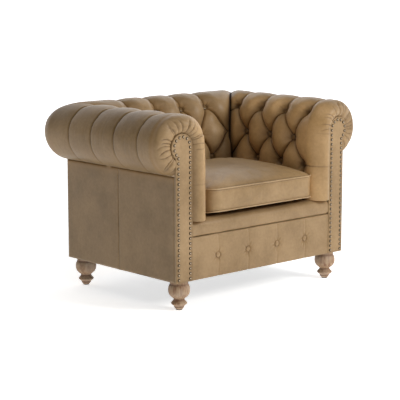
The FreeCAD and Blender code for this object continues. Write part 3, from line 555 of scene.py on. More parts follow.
    hollow_run = hollow_section(arm_hollow, core_radius)
    head_run = hollow_section(0.0755, 0.0455)
    columns = len(outer_x)
    inner_points = np.zeros((columns, len(hollow_run), 3))
    for j in range(columns):
        if j < wrap - 1:
            behind = start - 0.033 * (1.0 - j / (wrap - 1))
            run = head_run if behind < -0.340 else hollow_run
            inner_points[j] = [(half_width - s, behind, h) for s, h in run]
        else:
            portion = (j - wrap + 1) / (straight - 1)
            for k, (s, h) in enumerate(hollow_run):
                end = back_plane - s * math.pi / 4 if s < 0.0 else back_plane - s
                run_u = start + (end - start) * portion
                if s < 0.0 and run_u > back_plane:
                    swing = (run_u - back_plane) / -s
                    inner_points[j, k] = (half_width - s * math.cos(swing),
                                          back_plane - s * math.sin(swing), h)
                else:
                    inner_points[j, k] = (half_width - s, run_u, h)
    outer_points = np.stack([outer_x, outer_y, outer_z], axis=-1)
    grid = np.concatenate([outer_points, inner_points], axis=1)
    fade = np.concatenate([np.linspace(0.0, 1.0, wrap)[:-1], np.ones(straight)])[:, None]
    # Painted shade on the outer side of the roll, and painted light on the inner wall of the arm.
    painted_outer_shade = (1.0 - np.clip((along - 0.28) / 0.12, 0.0, 1.0))[None] * fade
    painted_inside_light = np.clip((along - 0.36) / 0.06, 0.0, 1.0)[None] * fade
    marks = {"hollow": outer_hollow, "fold": outer_fold, "outer": painted_outer_shade, "inside": painted_inside_light}
    arm = hide_mesh("inside_arm_" + side_name, grid, marks, chair_hide, side == -1)
    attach(arm, "chair_body")
    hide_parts("arm_foam_" + side_name, "inside_arm_cover_" + side_name)


for side in (1, -1):
    upholstered_arm(side)


# ---------------------------------------------------------------- the inside back
# The back is covered like the arms, over deeper padding that swells towards the seat. It
# meets them at a mitre in each corner, where the hides are drawn down into a deep fold.

back_pitch = 0.135
back_section, back_out, back_along = hide_section([(0.165, 0.580), (0.180, wall_bottom)], 262, 0.022)
back_mitre_limit = 0.1503
back_button_radius = 0.084
back_button_inset = 0.141
back_rows = {}
back_rows["roll"] = top_row(back_section, back_along)
back_rows["middle"] = back_along[120 + np.argmin(np.abs(back_section[120:, 1] - middle_row))]
back_rows["low"] = back_along[120 + np.argmin(np.abs(back_section[120:, 1] - low_row))]
back_rows["top"] = nearest_step(back_section, back_along, (roll_inset, roll_height + roll_radius))
back_rows["outer"] = nearest_step(back_section, back_along, (roll_inset - roll_radius, roll_height))
middle_reach = np.interp(back_rows["middle"], back_along, back_section[:, 0]) - back_button_inset
low_reach = np.interp(back_rows["low"], back_along, back_section[:, 0]) - back_button_inset
back_seats = [((i - 1.5) * back_pitch, back_rows["roll"], 0.031) for i in range(4)]
back_seats += [((i - 1) * back_pitch, back_rows["middle"], middle_reach) for i in range(3)]
back_seats += [((i - 1.5) * back_pitch, back_rows["low"], low_reach) for i in range(4)]
back_creases = []
back_dice = random.Random(7)
for i in range(4):
    u = (i - 1.5) * back_pitch
    back_creases.append(([(u, back_rows["roll"], 1.0, 0.9),
                          (u, (back_rows["roll"] + back_rows["top"]) / 2, 0.7, 1.0),
                          (u, back_rows["top"], 0.34, 0.9), (u, back_rows["outer"], 0.13, 0.9),
                          (u, 0.0, 0.15, 0.35)], 0.056))
    back_creases.append(([(u, back_rows["low"], 1.0, 0.9), (u, back_along[-1], 0.8, 0.7)], 0.056))
    for shift in (-0.5, 0.5):
        across_u = u + shift * back_pitch
        reach_row = back_rows["middle"]
        if abs(across_u) > 0.25:
            across_u = math.copysign(0.292, across_u)
        back_creases.append(([(u, back_rows["roll"], 1.0, 0.9), (across_u, reach_row, 1.0, 0.9)], 0.060))
        back_creases.append(([(across_u, reach_row, 1.0, 0.9), (u, back_rows["low"], 1.0, 0.9)], 0.060))
columns = 281
share = np.linspace(-1.0, 1.0, columns)[:, None]
inset = np.broadcast_to(back_section[None, :, 0], (columns, len(back_along)))
mitre = np.where(inset < 0.0, half_width - inset * math.pi / 4,
                 half_width - np.minimum(inset, back_mitre_limit))
u = mitre * share
v = np.broadcast_to(back_along[None], u.shape)
inner_half = np.clip((v - 0.34) / 0.08, 0.0, 1.0) * (1.0 - 0.6 * np.clip((v - 0.62) / 0.08, 0.0, 1.0))
depth, hollow, fold = tufting(u, v, back_creases, back_seats, 0.0265, 0.0105 * inner_half)
depth, hollow, fold = mitred(depth, hollow, fold, mitre - np.abs(u), v)
swept = (inset < 0.0) & (np.abs(u) > half_width)
angle = np.where(swept, (np.abs(u) - half_width) / np.maximum(-inset, 1e-4), 0.0)
reach = inset - back_out[None, :, 0] * depth
height = back_section[None, :, 1] - back_out[None, :, 1] * depth
x = np.where(swept, np.sign(u) * (half_width - reach * np.sin(angle)), u)
y = np.where(swept, back_plane - reach * np.cos(angle), back_plane - reach)
tidy = np.clip(1.0 - (mitre - np.abs(u)) / 0.05, 0.0, 1.0)
closing = np.minimum(inset, back_mitre_limit) - np.minimum(reach, back_mitre_limit)
x = np.where(inset < 0.0, x, x + np.sign(u) * closing * tidy)
back_hollow_run = hollow_section(0.132, core_radius)
back_inner = np.zeros((columns, len(back_hollow_run), 3))
for j in range(columns):
    for k, (s, h) in enumerate(back_hollow_run):
        end = half_width - s * math.pi / 4 if s < 0.0 else half_width - min(s, back_mitre_limit)
        run_u = end * share[j, 0]
        if s < 0.0 and abs(run_u) > half_width:
            swing = (abs(run_u) - half_width) / -s
            back_inner[j, k] = (math.copysign(half_width - s * math.sin(swing), run_u),
                                back_plane - s * math.cos(swing), h)
        else:
            back_inner[j, k] = (run_u, back_plane - s, h)
back_grid = np.concatenate([np.stack([x, y, np.broadcast_to(height, x.shape)], axis=-1), back_inner], axis=1)
# Painted shade on the outer side of the back's roll; the hollow and fold marks paint shade in the pleats.
painted_outer_shade = np.broadcast_to(1.0 - np.clip((back_along - 0.28) / 0.12, 0.0, 1.0), hollow.shape)
inside_back = hide_mesh("inside_back", back_grid, {"hollow": hollow, "fold": fold, "outer": painted_outer_shade},
                        chair_hide, True)
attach(inside_back, "chair_body")
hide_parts("back_foam", "inside_back_cover")


# ---------------------------------------------------------------- covered buttons
# Each button is a pressed metal cap covered in offcuts of the same hide, with a twine
# through the padding that is tied to the webbing behind and draws the hide down with it.


def loop_faces(loops, ring):
    """Quads between closed loops of points, then a cap on the first loop and on the last."""
    faces = []
    for k in range(loops - 1):
        for j in range(ring):
            after = (j + 1) % ring
            faces.append((k * ring + j, k * ring + after, (k + 1) * ring + after, (k + 1) * ring + j))
    faces.append(list(range(ring))[::-1])
    faces.append([(loops - 1) * ring + j for j in range(ring)])
    return faces


def turned(name, profile, steps, finish):
    """A turned solid from (radius, height) pairs that start and end on its axis."""
    points = []
    for radius, height in profile[1:-1]:
        for k in range(steps):
            spin = 2.0 * math.pi * k / steps
            points.append((radius * math.cos(spin), radius * math.sin(spin), height))
    bottom = len(points)
    points.append((0.0, 0.0, profile[0][1]))
    points.append((0.0, 0.0, profile[-1][1]))
    faces = loop_faces(len(profile) - 2, steps)[:-2]
    for k in range(steps):
        after = (k + 1) % steps
        faces.append((bottom, after, k))
        faces.append((bottom + 1, bottom - steps + k, bottom - steps + after))
    return new_piece(name, points, faces, finish)


def pattern_tree(name, inputs):
    """A geometry tree that will set a pattern in place, with its inputs and its output."""
    tree = bpy.data.node_groups.new(name, "GeometryNodeTree")
    for label, kind in [("Geometry", "Geometry"), ("Pattern", "Object"), ("Finish", "Material")] + inputs:
        tree.interface.new_socket(label, in_out="INPUT", socket_type="NodeSocket" + kind)
    tree.interface.new_socket("Geometry", in_out="OUTPUT", socket_type="NodeSocketGeometry")
    return tree, tree.nodes.new("NodeGroupInput").outputs, tree.nodes.new("NodeGroupOutput").inputs


def set_patterns(tree, given, shown, points, rotation, size=None):
    """The end of a tree: a pattern at every point, made real and dressed in its finish."""
    fetch = tree.nodes.new("GeometryNodeObjectInfo")
    tree.links.new(given["Pattern"], fetch.inputs["Object"])
    place = tree.nodes.new("GeometryNodeInstanceOnPoints")
    tree.links.new(points, place.inputs["Points"])
    tree.links.new(fetch.outputs["Geometry"], place.inputs["Instance"])
    tree.links.new(rotation, place.inputs["Rotation"])
    if size is not None:
        tree.links.new(size, place.inputs["Scale"])
    real = tree.nodes.new("GeometryNodeRealizeInstances")
    tree.links.new(place.outputs["Instances"], real.inputs["Geometry"])
    dress = tree.nodes.new("GeometryNodeSetMaterial")
    tree.links.new(real.outputs["Geometry"], dress.inputs["Geometry"])
    tree.links.new(given["Finish"], dress.inputs["Material"])
    tree.links.new(dress.outputs["Geometry"], shown["Geometry"])


def set_in_place(name, pattern, spots, outs, finish, spin_seed):
    """A copy of the pattern at every spot, facing its way out, joined into one plain mesh."""
    tree, given, shown = pattern_tree(name + "_setting", [("Size", "Float"), ("Spin seed", "Int")])
    way = tree.nodes.new("GeometryNodeInputNamedAttribute")
    way.data_type = "FLOAT_VECTOR"
    way.inputs["Name"].default_value = "way_out"
    aim = tree.nodes.new("FunctionNodeAlignRotationToVector")
    aim.axis = "Z"
    tree.links.new(way.outputs["Attribute"], aim.inputs["Vector"])
    spin = tree.nodes.new("FunctionNodeRandomValue")
    spin.data_type = "FLOAT_VECTOR"
    spin.inputs[0].default_value = (0.0, 0.0, 0.0)
    spin.inputs[1].default_value = (0.0, 0.0, 6.283)
    tree.links.new(given["Spin seed"], spin.inputs["Seed"])
    turn = tree.nodes.new("FunctionNodeRotateRotation")
    turn.rotation_space = "LOCAL"
    tree.links.new(aim.outputs["Rotation"], turn.inputs["Rotation"])
    tree.links.new(spin.outputs["Value"], turn.inputs["Rotate By"])
    set_patterns(tree, given, shown, given["Geometry"], turn.outputs["Rotation"], given["Size"])
    mesh = bpy.data.meshes.new(name + "_spots")
    mesh.from_pydata([tuple(spot) for spot in spots], [], [])
    layer = mesh.attributes.new("way_out", "FLOAT_VECTOR", "POINT")
    layer.data.foreach_set("vector", [part for out in outs for part in out])
    return finish_tree(name, mesh, tree, {"Pattern": pattern, "Finish": finish, "Size": 1.0,
                                          "Spin seed": spin_seed})


def finish_tree(name, mesh, tree, settings):
    """Run a geometry tree on a mesh and keep the result as a plain mesh object."""
    holder = bpy.data.objects.new(name + "_holder", mesh)
    bpy.context.scene.collection.objects.link(holder)
    modifier = holder.modifiers.new("setting", "NODES")
    modifier.node_group = tree
    for item in tree.interface.items_tree:
        if item.in_out == "INPUT" and item.name in settings:
            modifier[item.identifier] = settings[item.name]
    holder.update_tag()
    bpy.context.view_layer.update()
    graph = bpy.context.evaluated_depsgraph_get()
    plain = bpy.data.meshes.new_from_object(holder.evaluated_get(graph))
    holder.modifiers.remove(modifier)
    bpy.data.objects.remove(holder)
    plain.name = name
    piece = bpy.data.objects.new(name, plain)
    bpy.context.scene.collection.objects.link(piece)
    return piece


button_profile = [(0.0, 0.0), (0.0098, 0.0), (0.0110, 0.0012), (0.0112, 0.0030), (0.0106, 0.0046),
                  (0.0090, 0.0062), (0.0066, 0.0073), (0.0036, 0.0079), (0.0012, 0.0081), (0.0, 0.0081)]
# A darker, glossier copy of the hide for the buttons inside the arms and back: painted shade for their deep
# dimples.
shaded_button_hide = tan_hide("shaded_button_hide", (0.235, 0.145, 0.062), (0.160, 0.095, 0.038), 0.30)


def covered_button(name, hide, painted_rim_shade):
    """One button, its hide darkened towards the rim as painted shade."""
    button = turned(name, button_profile, 22, hide)
    mark(button, "fold", [painted_rim_shade * min(1.0, max(0.0, (0.0079 - v.co.z) / 0.0034))
                          for v in button.data.vertices])
    return button


button_spots = []
button_outs = []
across = math.cos(top_row_turn)
upward = math.sin(top_row_turn)
for side in (1, -1):
    for i in range(4):
        button_spots.append((side * (half_width - roll_inset - arm_button_radius * across),
                             first_tuft[side] + i * tuft_pitch, roll_height + arm_button_radius * upward))
        button_outs.append((-side * across, 0.0, upward))
    for i in range(3):
        wall = side * (half_width - wall_button_inset)
        button_spots.append((wall, first_tuft[side] + (i + 0.5) * tuft_pitch, middle_row))
        button_spots.append((wall, first_tuft[side] + i * tuft_pitch, low_row))
        button_outs += [(-side, 0.0, 0.0)] * 2
for i in range(4):
    x = (i - 1.5) * back_pitch
    button_spots.append((x, back_plane - roll_inset - back_button_radius * across,
                         roll_height + back_button_radius * upward))
    button_outs.append((0.0, -across, upward))
    button_spots.append((x, back_plane - back_button_inset, low_row))
    button_outs.append((0.0, -1.0, 0.0))
for i in range(3):
    button_spots.append(((i - 1) * back_pitch, back_plane - back_button_inset, middle_row))
    button_outs.append((0.0, -1.0, 0.0))
border_pitch = 0.157
border_button_height = 0.192
border_spots = [((i - 1.5) * border_pitch, -0.3600, border_button_height) for i in range(4)]
for name, spots, outs, hide, painted_rim_shade in (
        ("inside_buttons", button_spots, button_outs, shaded_button_hide, 0.55),
        ("border_buttons", border_spots, [(0.0, -1.0, 0.0)] * 4, chair_hide, 0.10)):
    button_pattern = covered_button(name + "_pattern", hide, painted_rim_shade)
    buttons = set_in_place(name, button_pattern, spots, outs, hide, 3)
    bpy.data.objects.remove(button_pattern)
    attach(buttons, "chair_body")
    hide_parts("upholstery_buttons")


# ---------------------------------------------------------------- scroll facings
# A facing is a shaped board under thin wadding and hide, with a fine welt of turned hide at
# its edge. It is nailed over the gathers and raw edges at the front of each arm.

facing_front = -0.371
facing_back = -0.362
facing_low = 0.112
facing_width = 0.080
facing_radius = 0.050
arch_height = 0.617


def facing_line(inset, count):
    """The facing's outline drawn in by some inset, from the foot of its outer edge round its head."""
    radius = facing_radius - inset
    rise = math.sqrt(radius ** 2 - (roll_inset - inset) ** 2)
    start = math.pi + math.atan2(rise, roll_inset - inset)
    path = [(inset, facing_low + inset), (inset, arch_height - rise)]
    for k in range(1, 60):
        turn = start - start * k / 59
        path.append((roll_inset + radius * math.cos(turn), arch_height + radius * math.sin(turn)))
    path.append((facing_width - inset, facing_low + inset))
    return even_steps(path, count)[0]


def scroll_facing(side):
    """Rings of the outline, from the back edge over the welt to the softly padded front."""
    side_name = "left" if side == 1 else "right"
    welt_foot = 0.0038
    steps = [(0.0, facing_back), (0.0, facing_front + 0.0020), (0.0006, facing_front + 0.0004),
             (0.0018, facing_front - 0.0004), (0.0030, facing_front + 0.0002),
             (welt_foot, facing_front + 0.0014), (0.0052, facing_front + 0.0012),
             (0.0085, facing_front + 0.0004), (0.0120, facing_front + 0.0006),
             (0.0160, facing_front + 0.0002), (0.0230, facing_front - 0.0004)]
    count = 260
    points = []
    fold = []
    for inset, depth in steps:
        points += [(side * (half_width - s), depth, h) for s, h in facing_line(inset, count)]
        # Painted shade: a dark line at the foot of the welt.
        fold += [0.35 if inset == welt_foot else 0.0] * count
    faces = loop_faces(len(steps), count)
    if side == 1:
        faces = [face[::-1] for face in faces]
    facing = new_piece("scroll_facing_" + side_name, points, faces, chair_hide)
    mark(facing, "fold", fold)
    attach(facing, "chair_body")
    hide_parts("facing_" + side_name)


for side in (1, -1):
    scroll_facing(side)


# ---------------------------------------------------------------- facing nails
# Domed upholstery nails of antiqued bronze, one every 19 mm, 12 mm in from the edge of the
# facing. Their tops are rubbed bright; dark patina stays round the rims.

nail_pitch = 0.019
nail_bronze, tree, shader, place = new_finish("nail_bronze")
patina = texture(tree, "Noise", place, scale=260.0, detail=3.0)
wear = tree.nodes.new("ShaderNodeMath")
wear.operation = "MULTIPLY"
tree.links.new(patina.outputs["Fac"], wear.inputs[0])
tree.links.new(mark_of(tree, "rubbed"), wear.inputs[1])
worn_bronze = ramp(tree, wear.outputs["Value"], (0.05, (0.018, 0.010, 0.006)), (0.50, (0.500, 0.390, 0.270)))
tree.links.new(worn_bronze, shader.inputs["Base Color"])
shader.inputs["Metallic"].default_value = 0.80
shader.inputs["Roughness"].default_value = 0.48

nail_profile = [(0.0, 0.0), (0.0054, 0.0), (0.0059, 0.0003), (0.0057, 0.0009), (0.0047, 0.0018),
                (0.0031, 0.0025), (0.0014, 0.0028), (0.0, 0.0028)]
nail_pattern = turned("nail_pattern", nail_profile, 12, nail_bronze)
mark(nail_pattern, "rubbed", [max(0.0, min(1.0, (v.co.z - 0.0020) / 0.0008))
                              for v in nail_pattern.data.vertices])


def nailing_tree():
    """Nails at even steps along an outline, their domes facing forward."""
    tree, given, shown = pattern_tree("nailing", [("Nails", "Int"), ("Tilt seed", "Int")])
    to_line = tree.nodes.new("GeometryNodeMeshToCurve")
    tree.links.new(given["Geometry"], to_line.inputs["Mesh"])
    step_out = tree.nodes.new("GeometryNodeResampleCurve")
    tree.links.new(to_line.outputs["Curve"], step_out.inputs["Curve"])
    tree.links.new(given["Nails"], step_out.inputs["Count"])
    tilt = tree.nodes.new("FunctionNodeRandomValue")
    tilt.data_type = "FLOAT_VECTOR"
    tilt.inputs[0].default_value = (1.50, -0.07, -0.07)
    tilt.inputs[1].default_value = (1.64, 0.07, 0.07)
    tree.links.new(given["Tilt seed"], tilt.inputs["Seed"])
    set_patterns(tree, given, shown, step_out.outputs["Curve"], tilt.outputs["Value"])
    return tree


nailing = nailing_tree()
nail_line = facing_line(0.012, 400)
nail_run = float(np.sum(np.hypot(*np.diff(nail_line, axis=0).T)))
for side, name in ((1, "facing_nails_left"), (-1, "facing_nails_right")):
    line = bpy.data.meshes.new(name + "_line")
    line.from_pydata([(side * (half_width - s), facing_front - 0.0001, h) for s, h in nail_line],
                     [(k, k + 1) for k in range(len(nail_line) - 1)], [])
    nails = finish_tree(name, line, nailing, {"Pattern": nail_pattern, "Finish": nail_bronze,
                                              "Nails": round(nail_run / nail_pitch) + 1,
                                              "Tilt seed": 5 + side})
    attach(nails, "chair_body")
    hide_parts("facing_nails")
bpy.data.objects.remove(nail_pattern)


# ---------------------------------------------------------------- front border and lip
# Below the cushion a foam roll covered in hide forms the lip of the seat. Under its seam the
# border is a thinly padded panel with four buttons, pleated up to the seam and down to the
# bottom edge.

between_facings = 0.3695
border_front = -0.369
border_back = -0.355
border_low = 0.112
border_high = 0.2745


def panel_grid(name, x, y, z, back_y, hollow, fold, finish):
    """A grid of front places closed by a flat back, as one solid panel facing the front."""
    rows, cols = x.shape
    front = np.stack([x, y, z], axis=-1).reshape(-1, 3)
    rear = np.stack([x, np.full_like(x, back_y), z], axis=-1).reshape(-1, 3)
    here = np.arange(rows * cols).reshape(rows, cols)
    quads = np.stack([here[:-1, :-1], here[:-1, 1:], here[1:, 1:], here[1:, :-1]], axis=-1).reshape(-1, 4)
    faces = quads.tolist() + (quads[:, ::-1] + rows * cols).tolist()
    rim = np.concatenate([here[0, :-1], here[:-1, -1], here[-1, :0:-1], here[:0:-1, 0]])
    after = np.roll(rim, -1)
    faces += np.stack([rim + rows * cols, after + rows * cols, after, rim], axis=-1).tolist()
    piece = new_piece(name, np.vstack([front, rear]).tolist(), faces, finish)
    mark(piece, "hollow", np.concatenate([hollow.reshape(-1), np.zeros(hollow.size)]))
    mark(piece, "fold", np.concatenate([fold.reshape(-1), np.zeros(fold.size)]))
    return piece


border_x, border_z = np.meshgrid(np.linspace(-between_facings, between_facings, 270),
                                 np.linspace(border_low, border_high, 62))
border_creases = []
border_seats = []
for i in range(4):
    u = (i - 1.5) * border_pitch
    border_creases.append(([(u, border_button_height, 0.85, 0.50), (u + 0.003, 0.222, 0.28, 0.22),
                            (u + 0.001, 0.250, 0.22, 0.26),
                            (u - 0.001, border_high + 0.001, 0.55, 0.45)], 0.036))
    border_creases.append(([(u, border_button_height, 0.85, 0.50), (u + 0.003, 0.160, 0.26, 0.20),
                            (u + 0.001, 0.136, 0.20, 0.22), (u, border_low, 0.50, 0.30)], 0.036))
    border_seats.append((u, border_button_height, 0.0062))
deep, border_hollow, border_fold = tufting(border_x, border_z, border_creases, border_seats, 0.0050)
edge = np.minimum(border_z - border_low, border_high - border_z)
deep = np.clip(deep, -0.002, 0.0115) + 0.0012 * rolled_edge(edge, 0.004)
# The border's hollow and fold marks, weakened, paint shade in its pleats and dimples.
border = panel_grid("front_border_cover", border_x, border_front + deep, border_z, border_back,
                    border_hollow * 0.45, border_fold * 0.16, chair_hide)
# Painted shade: the border a little darker, as an outer piece.
mark(border, "outer", [0.35] * len(border.data.vertices))
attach(border, "chair_body")
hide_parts("front_border")

lip_low = 0.275
lip_high = 0.335
lip_back = -0.271
lip_middle = -0.332
lip_loop = []
for a in np.radians(np.linspace(0.0, 360.0, 73)[:-1]):
    tight = 0.80 if math.sin(a) > 0 else 0.17
    rise = math.copysign(abs(math.sin(a)) ** 0.80, math.sin(a))
    reach = math.copysign(abs(math.cos(a)) ** (tight if math.cos(a) > 0 else 0.25), math.cos(a))
    end = lip_middle - border_front if reach > 0 else lip_back - lip_middle
    lip_loop.append((lip_middle - reach * end, (lip_low + lip_high) / 2 + (lip_high - lip_low) / 2 * rise))
lip_steps = 150
lip_points = []
lip_dice = random.Random(11)
ripples = [(lip_dice.uniform(-0.37, 0.37), lip_dice.uniform(0.010, 0.022), lip_dice.uniform(-0.0007, 0.0007))
           for _ in range(26)]
for k in range(lip_steps):
    x = -between_facings + 2 * between_facings * k / (lip_steps - 1)
    ripple = sum(high * math.exp(-((x - at) / wide) ** 2) for at, wide, high in ripples)
    squeeze = 1.0 - 0.02 * math.cos(x * 9.0)
    for depth, height in lip_loop:
        lip_points.append((x, depth + ripple * (1 if depth < -0.33 else 0),
                           lip_low + (height - lip_low) * squeeze))
lip_faces = [face[::-1] for face in loop_faces(lip_steps, len(lip_loop))]
lip = new_piece("front_lip_cover", lip_points, lip_faces, chair_hide)
# Painted shade: darker along the lip's front bottom edge and towards its back under the cushion.
mark(lip, "hollow", [0.25 * max(0.0, 1.0 - (z - lip_low) / 0.010) if y < -0.34 else
                     0.45 * max(0.0, min(1.0, (y + 0.325) / 0.02)) for x, y, z in lip_points])
# Painted shade: the lip half darkened, as an outer piece.
mark(lip, "outer", [0.50] * len(lip_points))
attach(lip, "chair_body")
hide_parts("front_lip")


# ---------------------------------------------------------------- outside panels
# The sides are two lengths of hide joined at an upright seam, over thin wadding on the
# frame; the back is one piece. They are tacked under the roll and under the rails.

panel_low = 0.112
panel_high = 0.5085
panel_thickness = 0.0035
side_seam = -0.0365
cloud_dice = random.Random(21)


def outside_panel(name, near, far, face_at, along_y, outward_sign, node):
    """A thin panel on a side or on the back, softly padded and drawn in at its edges."""
    cols = int((far - near) / 0.006) + 2
    rows = 66
    u, z = np.meshgrid(np.linspace(near, far, cols), np.linspace(panel_low, panel_high, rows))
    edge = np.minimum(np.minimum(u - near, far - u), np.minimum(z - panel_low, panel_high - z))
    sunk = 0.0026 * rolled_edge(edge, 0.009)
    sag = np.zeros_like(u)
    for _ in range(22):
        at_u = cloud_dice.uniform(near, far)
        at_z = cloud_dice.uniform(panel_low, panel_high)
        wide = cloud_dice.uniform(0.03, 0.09)
        deep = cloud_dice.uniform(-0.0007, 0.0009)
        sag += deep * np.exp(-((u - at_u) / wide) ** 2 - ((z - at_z) / (1.8 * wide)) ** 2)
    seam_gap = np.minimum(np.abs(u - side_seam), 1.0) if along_y else np.full_like(u, 1.0)
    sunk *= 1.0 - 0.65 * np.exp(-(seam_gap / 0.014) ** 4)
    depth = sunk + np.clip(sag, -0.0012, 0.0014) + 0.0006
    fold = 0.12 * np.exp(-(seam_gap / 0.0020) ** 2)
    # Painted shadow under the roll, along the top of the panel.
    hollow = 0.55 * np.exp(-((panel_high - z) / 0.020) ** 2)
    panel = panel_grid(name, u, depth, z, panel_thickness, hollow, fold, chair_hide)
    # Painted shade: the whole panel darker, as an outer piece.
    mark(panel, "outer", [1.0] * len(panel.data.vertices))
    for vertex in panel.data.vertices:
        run, deep, high = vertex.co
        if along_y:
            vertex.co = (outward_sign * (face_at - deep), run, high)
        else:
            vertex.co = (run, face_at - deep, high)
    if not along_y or outward_sign == -1:
        panel.data.flip_normals()
    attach(panel, "chair_body")
    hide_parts(node)


for side, word in ((1, "left"), (-1, "right")):
    outside_panel("outside_front_" + word, facing_back, side_seam, half_width, True, side,
                  "outside_arm_front_panel_" + word)
    outside_panel("outside_rear_" + word, side_seam, back_plane, half_width, True, side,
                  "outside_arm_rear_panel_" + word)
outside_panel("outside_back", panel_thickness - half_width, half_width - panel_thickness, back_plane,
              False, 1, "outside_back_panel")


# ---------------------------------------------------------------- seat platform
# Under the loose cushion the seat is a flat foam pad covered in the same hide, on hessian
# over sinuous springs. It is tacked to the rails and shows only when the cushion is lifted.

deck_low, deck_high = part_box("seat_platform")
deck_x, deck_y = np.meshgrid(np.linspace(deck_low.x, deck_high.x, 90),
                             np.linspace(deck_low.y, deck_high.y, 60))
deck_edge = np.minimum(np.minimum(deck_x - deck_low.x, deck_high.x - deck_x),
                       np.minimum(deck_y - deck_low.y, deck_high.y - deck_y))
deck_drop = 0.016 * rolled_edge(deck_edge, 0.020)
deck_drop += 0.004 * np.exp(-(deck_edge / 0.05) ** 2)
# Painted shade: darker towards the pad's edges.
deck = panel_grid("seat_platform_cover", deck_x, deck_drop, deck_y, deck_high.z - deck_low.z,
                  0.5 * np.exp(-(deck_edge / 0.02) ** 2), np.zeros_like(deck_x), chair_hide)
for vertex in deck.data.vertices:
    run, drop, back_run = vertex.co
    vertex.co = (run, back_run, deck_high.z - drop)
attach(deck, "chair_body")
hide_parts("seat_platform")


# ---------------------------------------------------------------- the loose seat cushion
# A foam and feather core in a case of the same hide: top and bottom panels joined by a
# boxing, with a fine piping sewn in at both edges and a zip along the back.

cushion_hide = tan_hide("cushion_hide", (0.372, 0.246, 0.122), (0.268, 0.170, 0.075), 0.38)
cushion_x = (-0.262, 0.292)
cushion_y = (-0.366, 0.101)
cushion_low = 0.3425
cushion_edge = 0.4365
cushion_crown = 0.485
cushion_corner = 0.040


def seam_loop(inset, count):
    """The cushion's outline in plan, a rectangle with round corners, drawn in by some inset."""
    radius = cushion_corner - inset
    corners = [(cushion_x[1] - cushion_corner, cushion_y[0] + cushion_corner, -90.0),
               (cushion_x[1] - cushion_corner, cushion_y[1] - cushion_corner, 0.0),
               (cushion_x[0] + cushion_corner, cushion_y[1] - cushion_corner, 90.0),
               (cushion_x[0] + cushion_corner, cushion_y[0] + cushion_corner, 180.0)]
    path = []
    for x, y, begin in corners:
        for k in range(13):
            a = math.radians(begin + 90.0 * k / 12)
            path.append((x + radius * math.cos(a), y + radius * math.sin(a)))
    path.append(path[0])
    return even_steps(path, count + 1)[0][:-1]


def turned_up(y, z):
    """The heights of places on the cushion once its front edge lies on the springy lip."""
    near = np.clip((-0.22 - y) / 0.14, 0.0, 1.0) ** 2
    return z + near * (0.013 - 0.009 * np.clip((z - cushion_low) / (cushion_edge - cushion_low), 0.0, 1.0))


def cushion_case(step):
    """The case as a grid of rings: bottom panel, boxing and top panel, closed at the middles."""
    around = int(1.9 / step)
    outline = seam_loop(0.0030, around)
    middle = np.array([(cushion_x[0] + cushion_x[1]) / 2, (cushion_y[0] + cushion_y[1]) / 2])
    half = np.array([(cushion_x[1] - cushion_x[0]) / 2, (cushion_y[1] - cushion_y[0]) / 2])
    rings = int(0.215 / step)
    loops = []
    zones = []
    for k in range(rings, 0, -1):
        share = k / rings
        plan = middle + (outline - middle) * (1.0 - share * 0.985)
        loops.append(np.column_stack([plan, np.full(around, cushion_low)]))
        zones.append("bottom")
    levels = int((cushion_edge - cushion_low) / step)
    for k in range(levels + 1):
        loops.append(np.column_stack([outline, np.full(around, cushion_low + (cushion_edge - cushion_low)
                                                       * k / levels)]))
        zones.append("seam" if k in (0, levels) else "boxing")
    for k in range(1, rings + 1):
        share = k / rings
        plan = middle + (outline - middle) * (1.0 - share * 0.985)
        away = np.abs(plan - middle) / half
        dome = (1.0 - away[:, 0] ** 4.0) * (1.0 - away[:, 1] ** 4.0)
        back_rise = 0.006 * np.clip((plan[:, 1] - middle[1]) / half[1], -1.0, 1.0)
        rise = (cushion_crown - cushion_edge + back_rise) * np.clip(dome, 0.0, 1.0) ** 0.62
        loops.append(np.column_stack([plan, cushion_edge + rise]))
        zones.append("top")
    return loops, zones, around


case_step = 0.0125
case_loops, case_zones, case_around = cushion_case(case_step)
case_points = np.vstack(case_loops)
case_faces = loop_faces(len(case_loops), case_around)
cushion = new_piece("cushion_case", case_points.tolist(), case_faces, cushion_hide)
case_mesh = cushion.data
start_points = case_points.copy()
seam_rings = [ring for ring, zone in enumerate(case_zones) if zone == "seam"]
held = cushion.vertex_groups.new(name="seams")
for ring in seam_rings:
    held.add(list(range(ring * case_around, (ring + 1) * case_around)), 1.0, "REPLACE")
cloth = cushion.modifiers.new("filling", "CLOTH")
cloth.settings.quality = 5
cloth.settings.mass = 0.35
cloth.settings.tension_stiffness = 18.0
cloth.settings.compression_stiffness = 18.0
cloth.settings.shear_stiffness = 8.0
cloth.settings.bending_stiffness = 2.5
cloth.settings.air_damping = 4.0
cloth.settings.vertex_group_mass = "seams"
cloth.settings.use_pressure = True
cloth.settings.uniform_pressure_force = 4.0
cloth.settings.shrink_min = -0.006
cloth.settings.effector_weights.gravity = 0.0
cloth.collision_settings.use_collision = False
cloth.point_cache.frame_start = 1
cloth.point_cache.frame_end = 24
for frame_number in range(1, 25):
    bpy.context.scene.frame_set(frame_number)
graph = bpy.context.evaluated_depsgraph_get()
settled = cushion.evaluated_get(graph)
swollen = np.zeros(len(case_mesh.vertices) * 3)
settled.data.vertices.foreach_get("co", swollen)
swollen = swollen.reshape(-1, 3)
cushion.modifiers.remove(cloth)
bpy.context.scene.frame_set(1)
moved = swollen - start_points
far = np.linalg.norm(moved, axis=1)
cap = 0.009
moved *= (np.tanh(far / cap) * cap / np.maximum(far, 1e-9))[:, None]
zone_of = np.repeat(np.array(case_zones), case_around)
rings_of_moves = moved.reshape(len(case_loops), case_around, 3)
for ring, zone in enumerate(case_zones):
    evened = max(0.0, (ring - seam_rings[-1]) / (len(case_loops) - 1 - seam_rings[-1])) ** 0.8
    rings_of_moves[ring] += evened * (rings_of_moves[ring].mean(axis=0) - rings_of_moves[ring])
moved[zone_of == "bottom"] *= 0.05
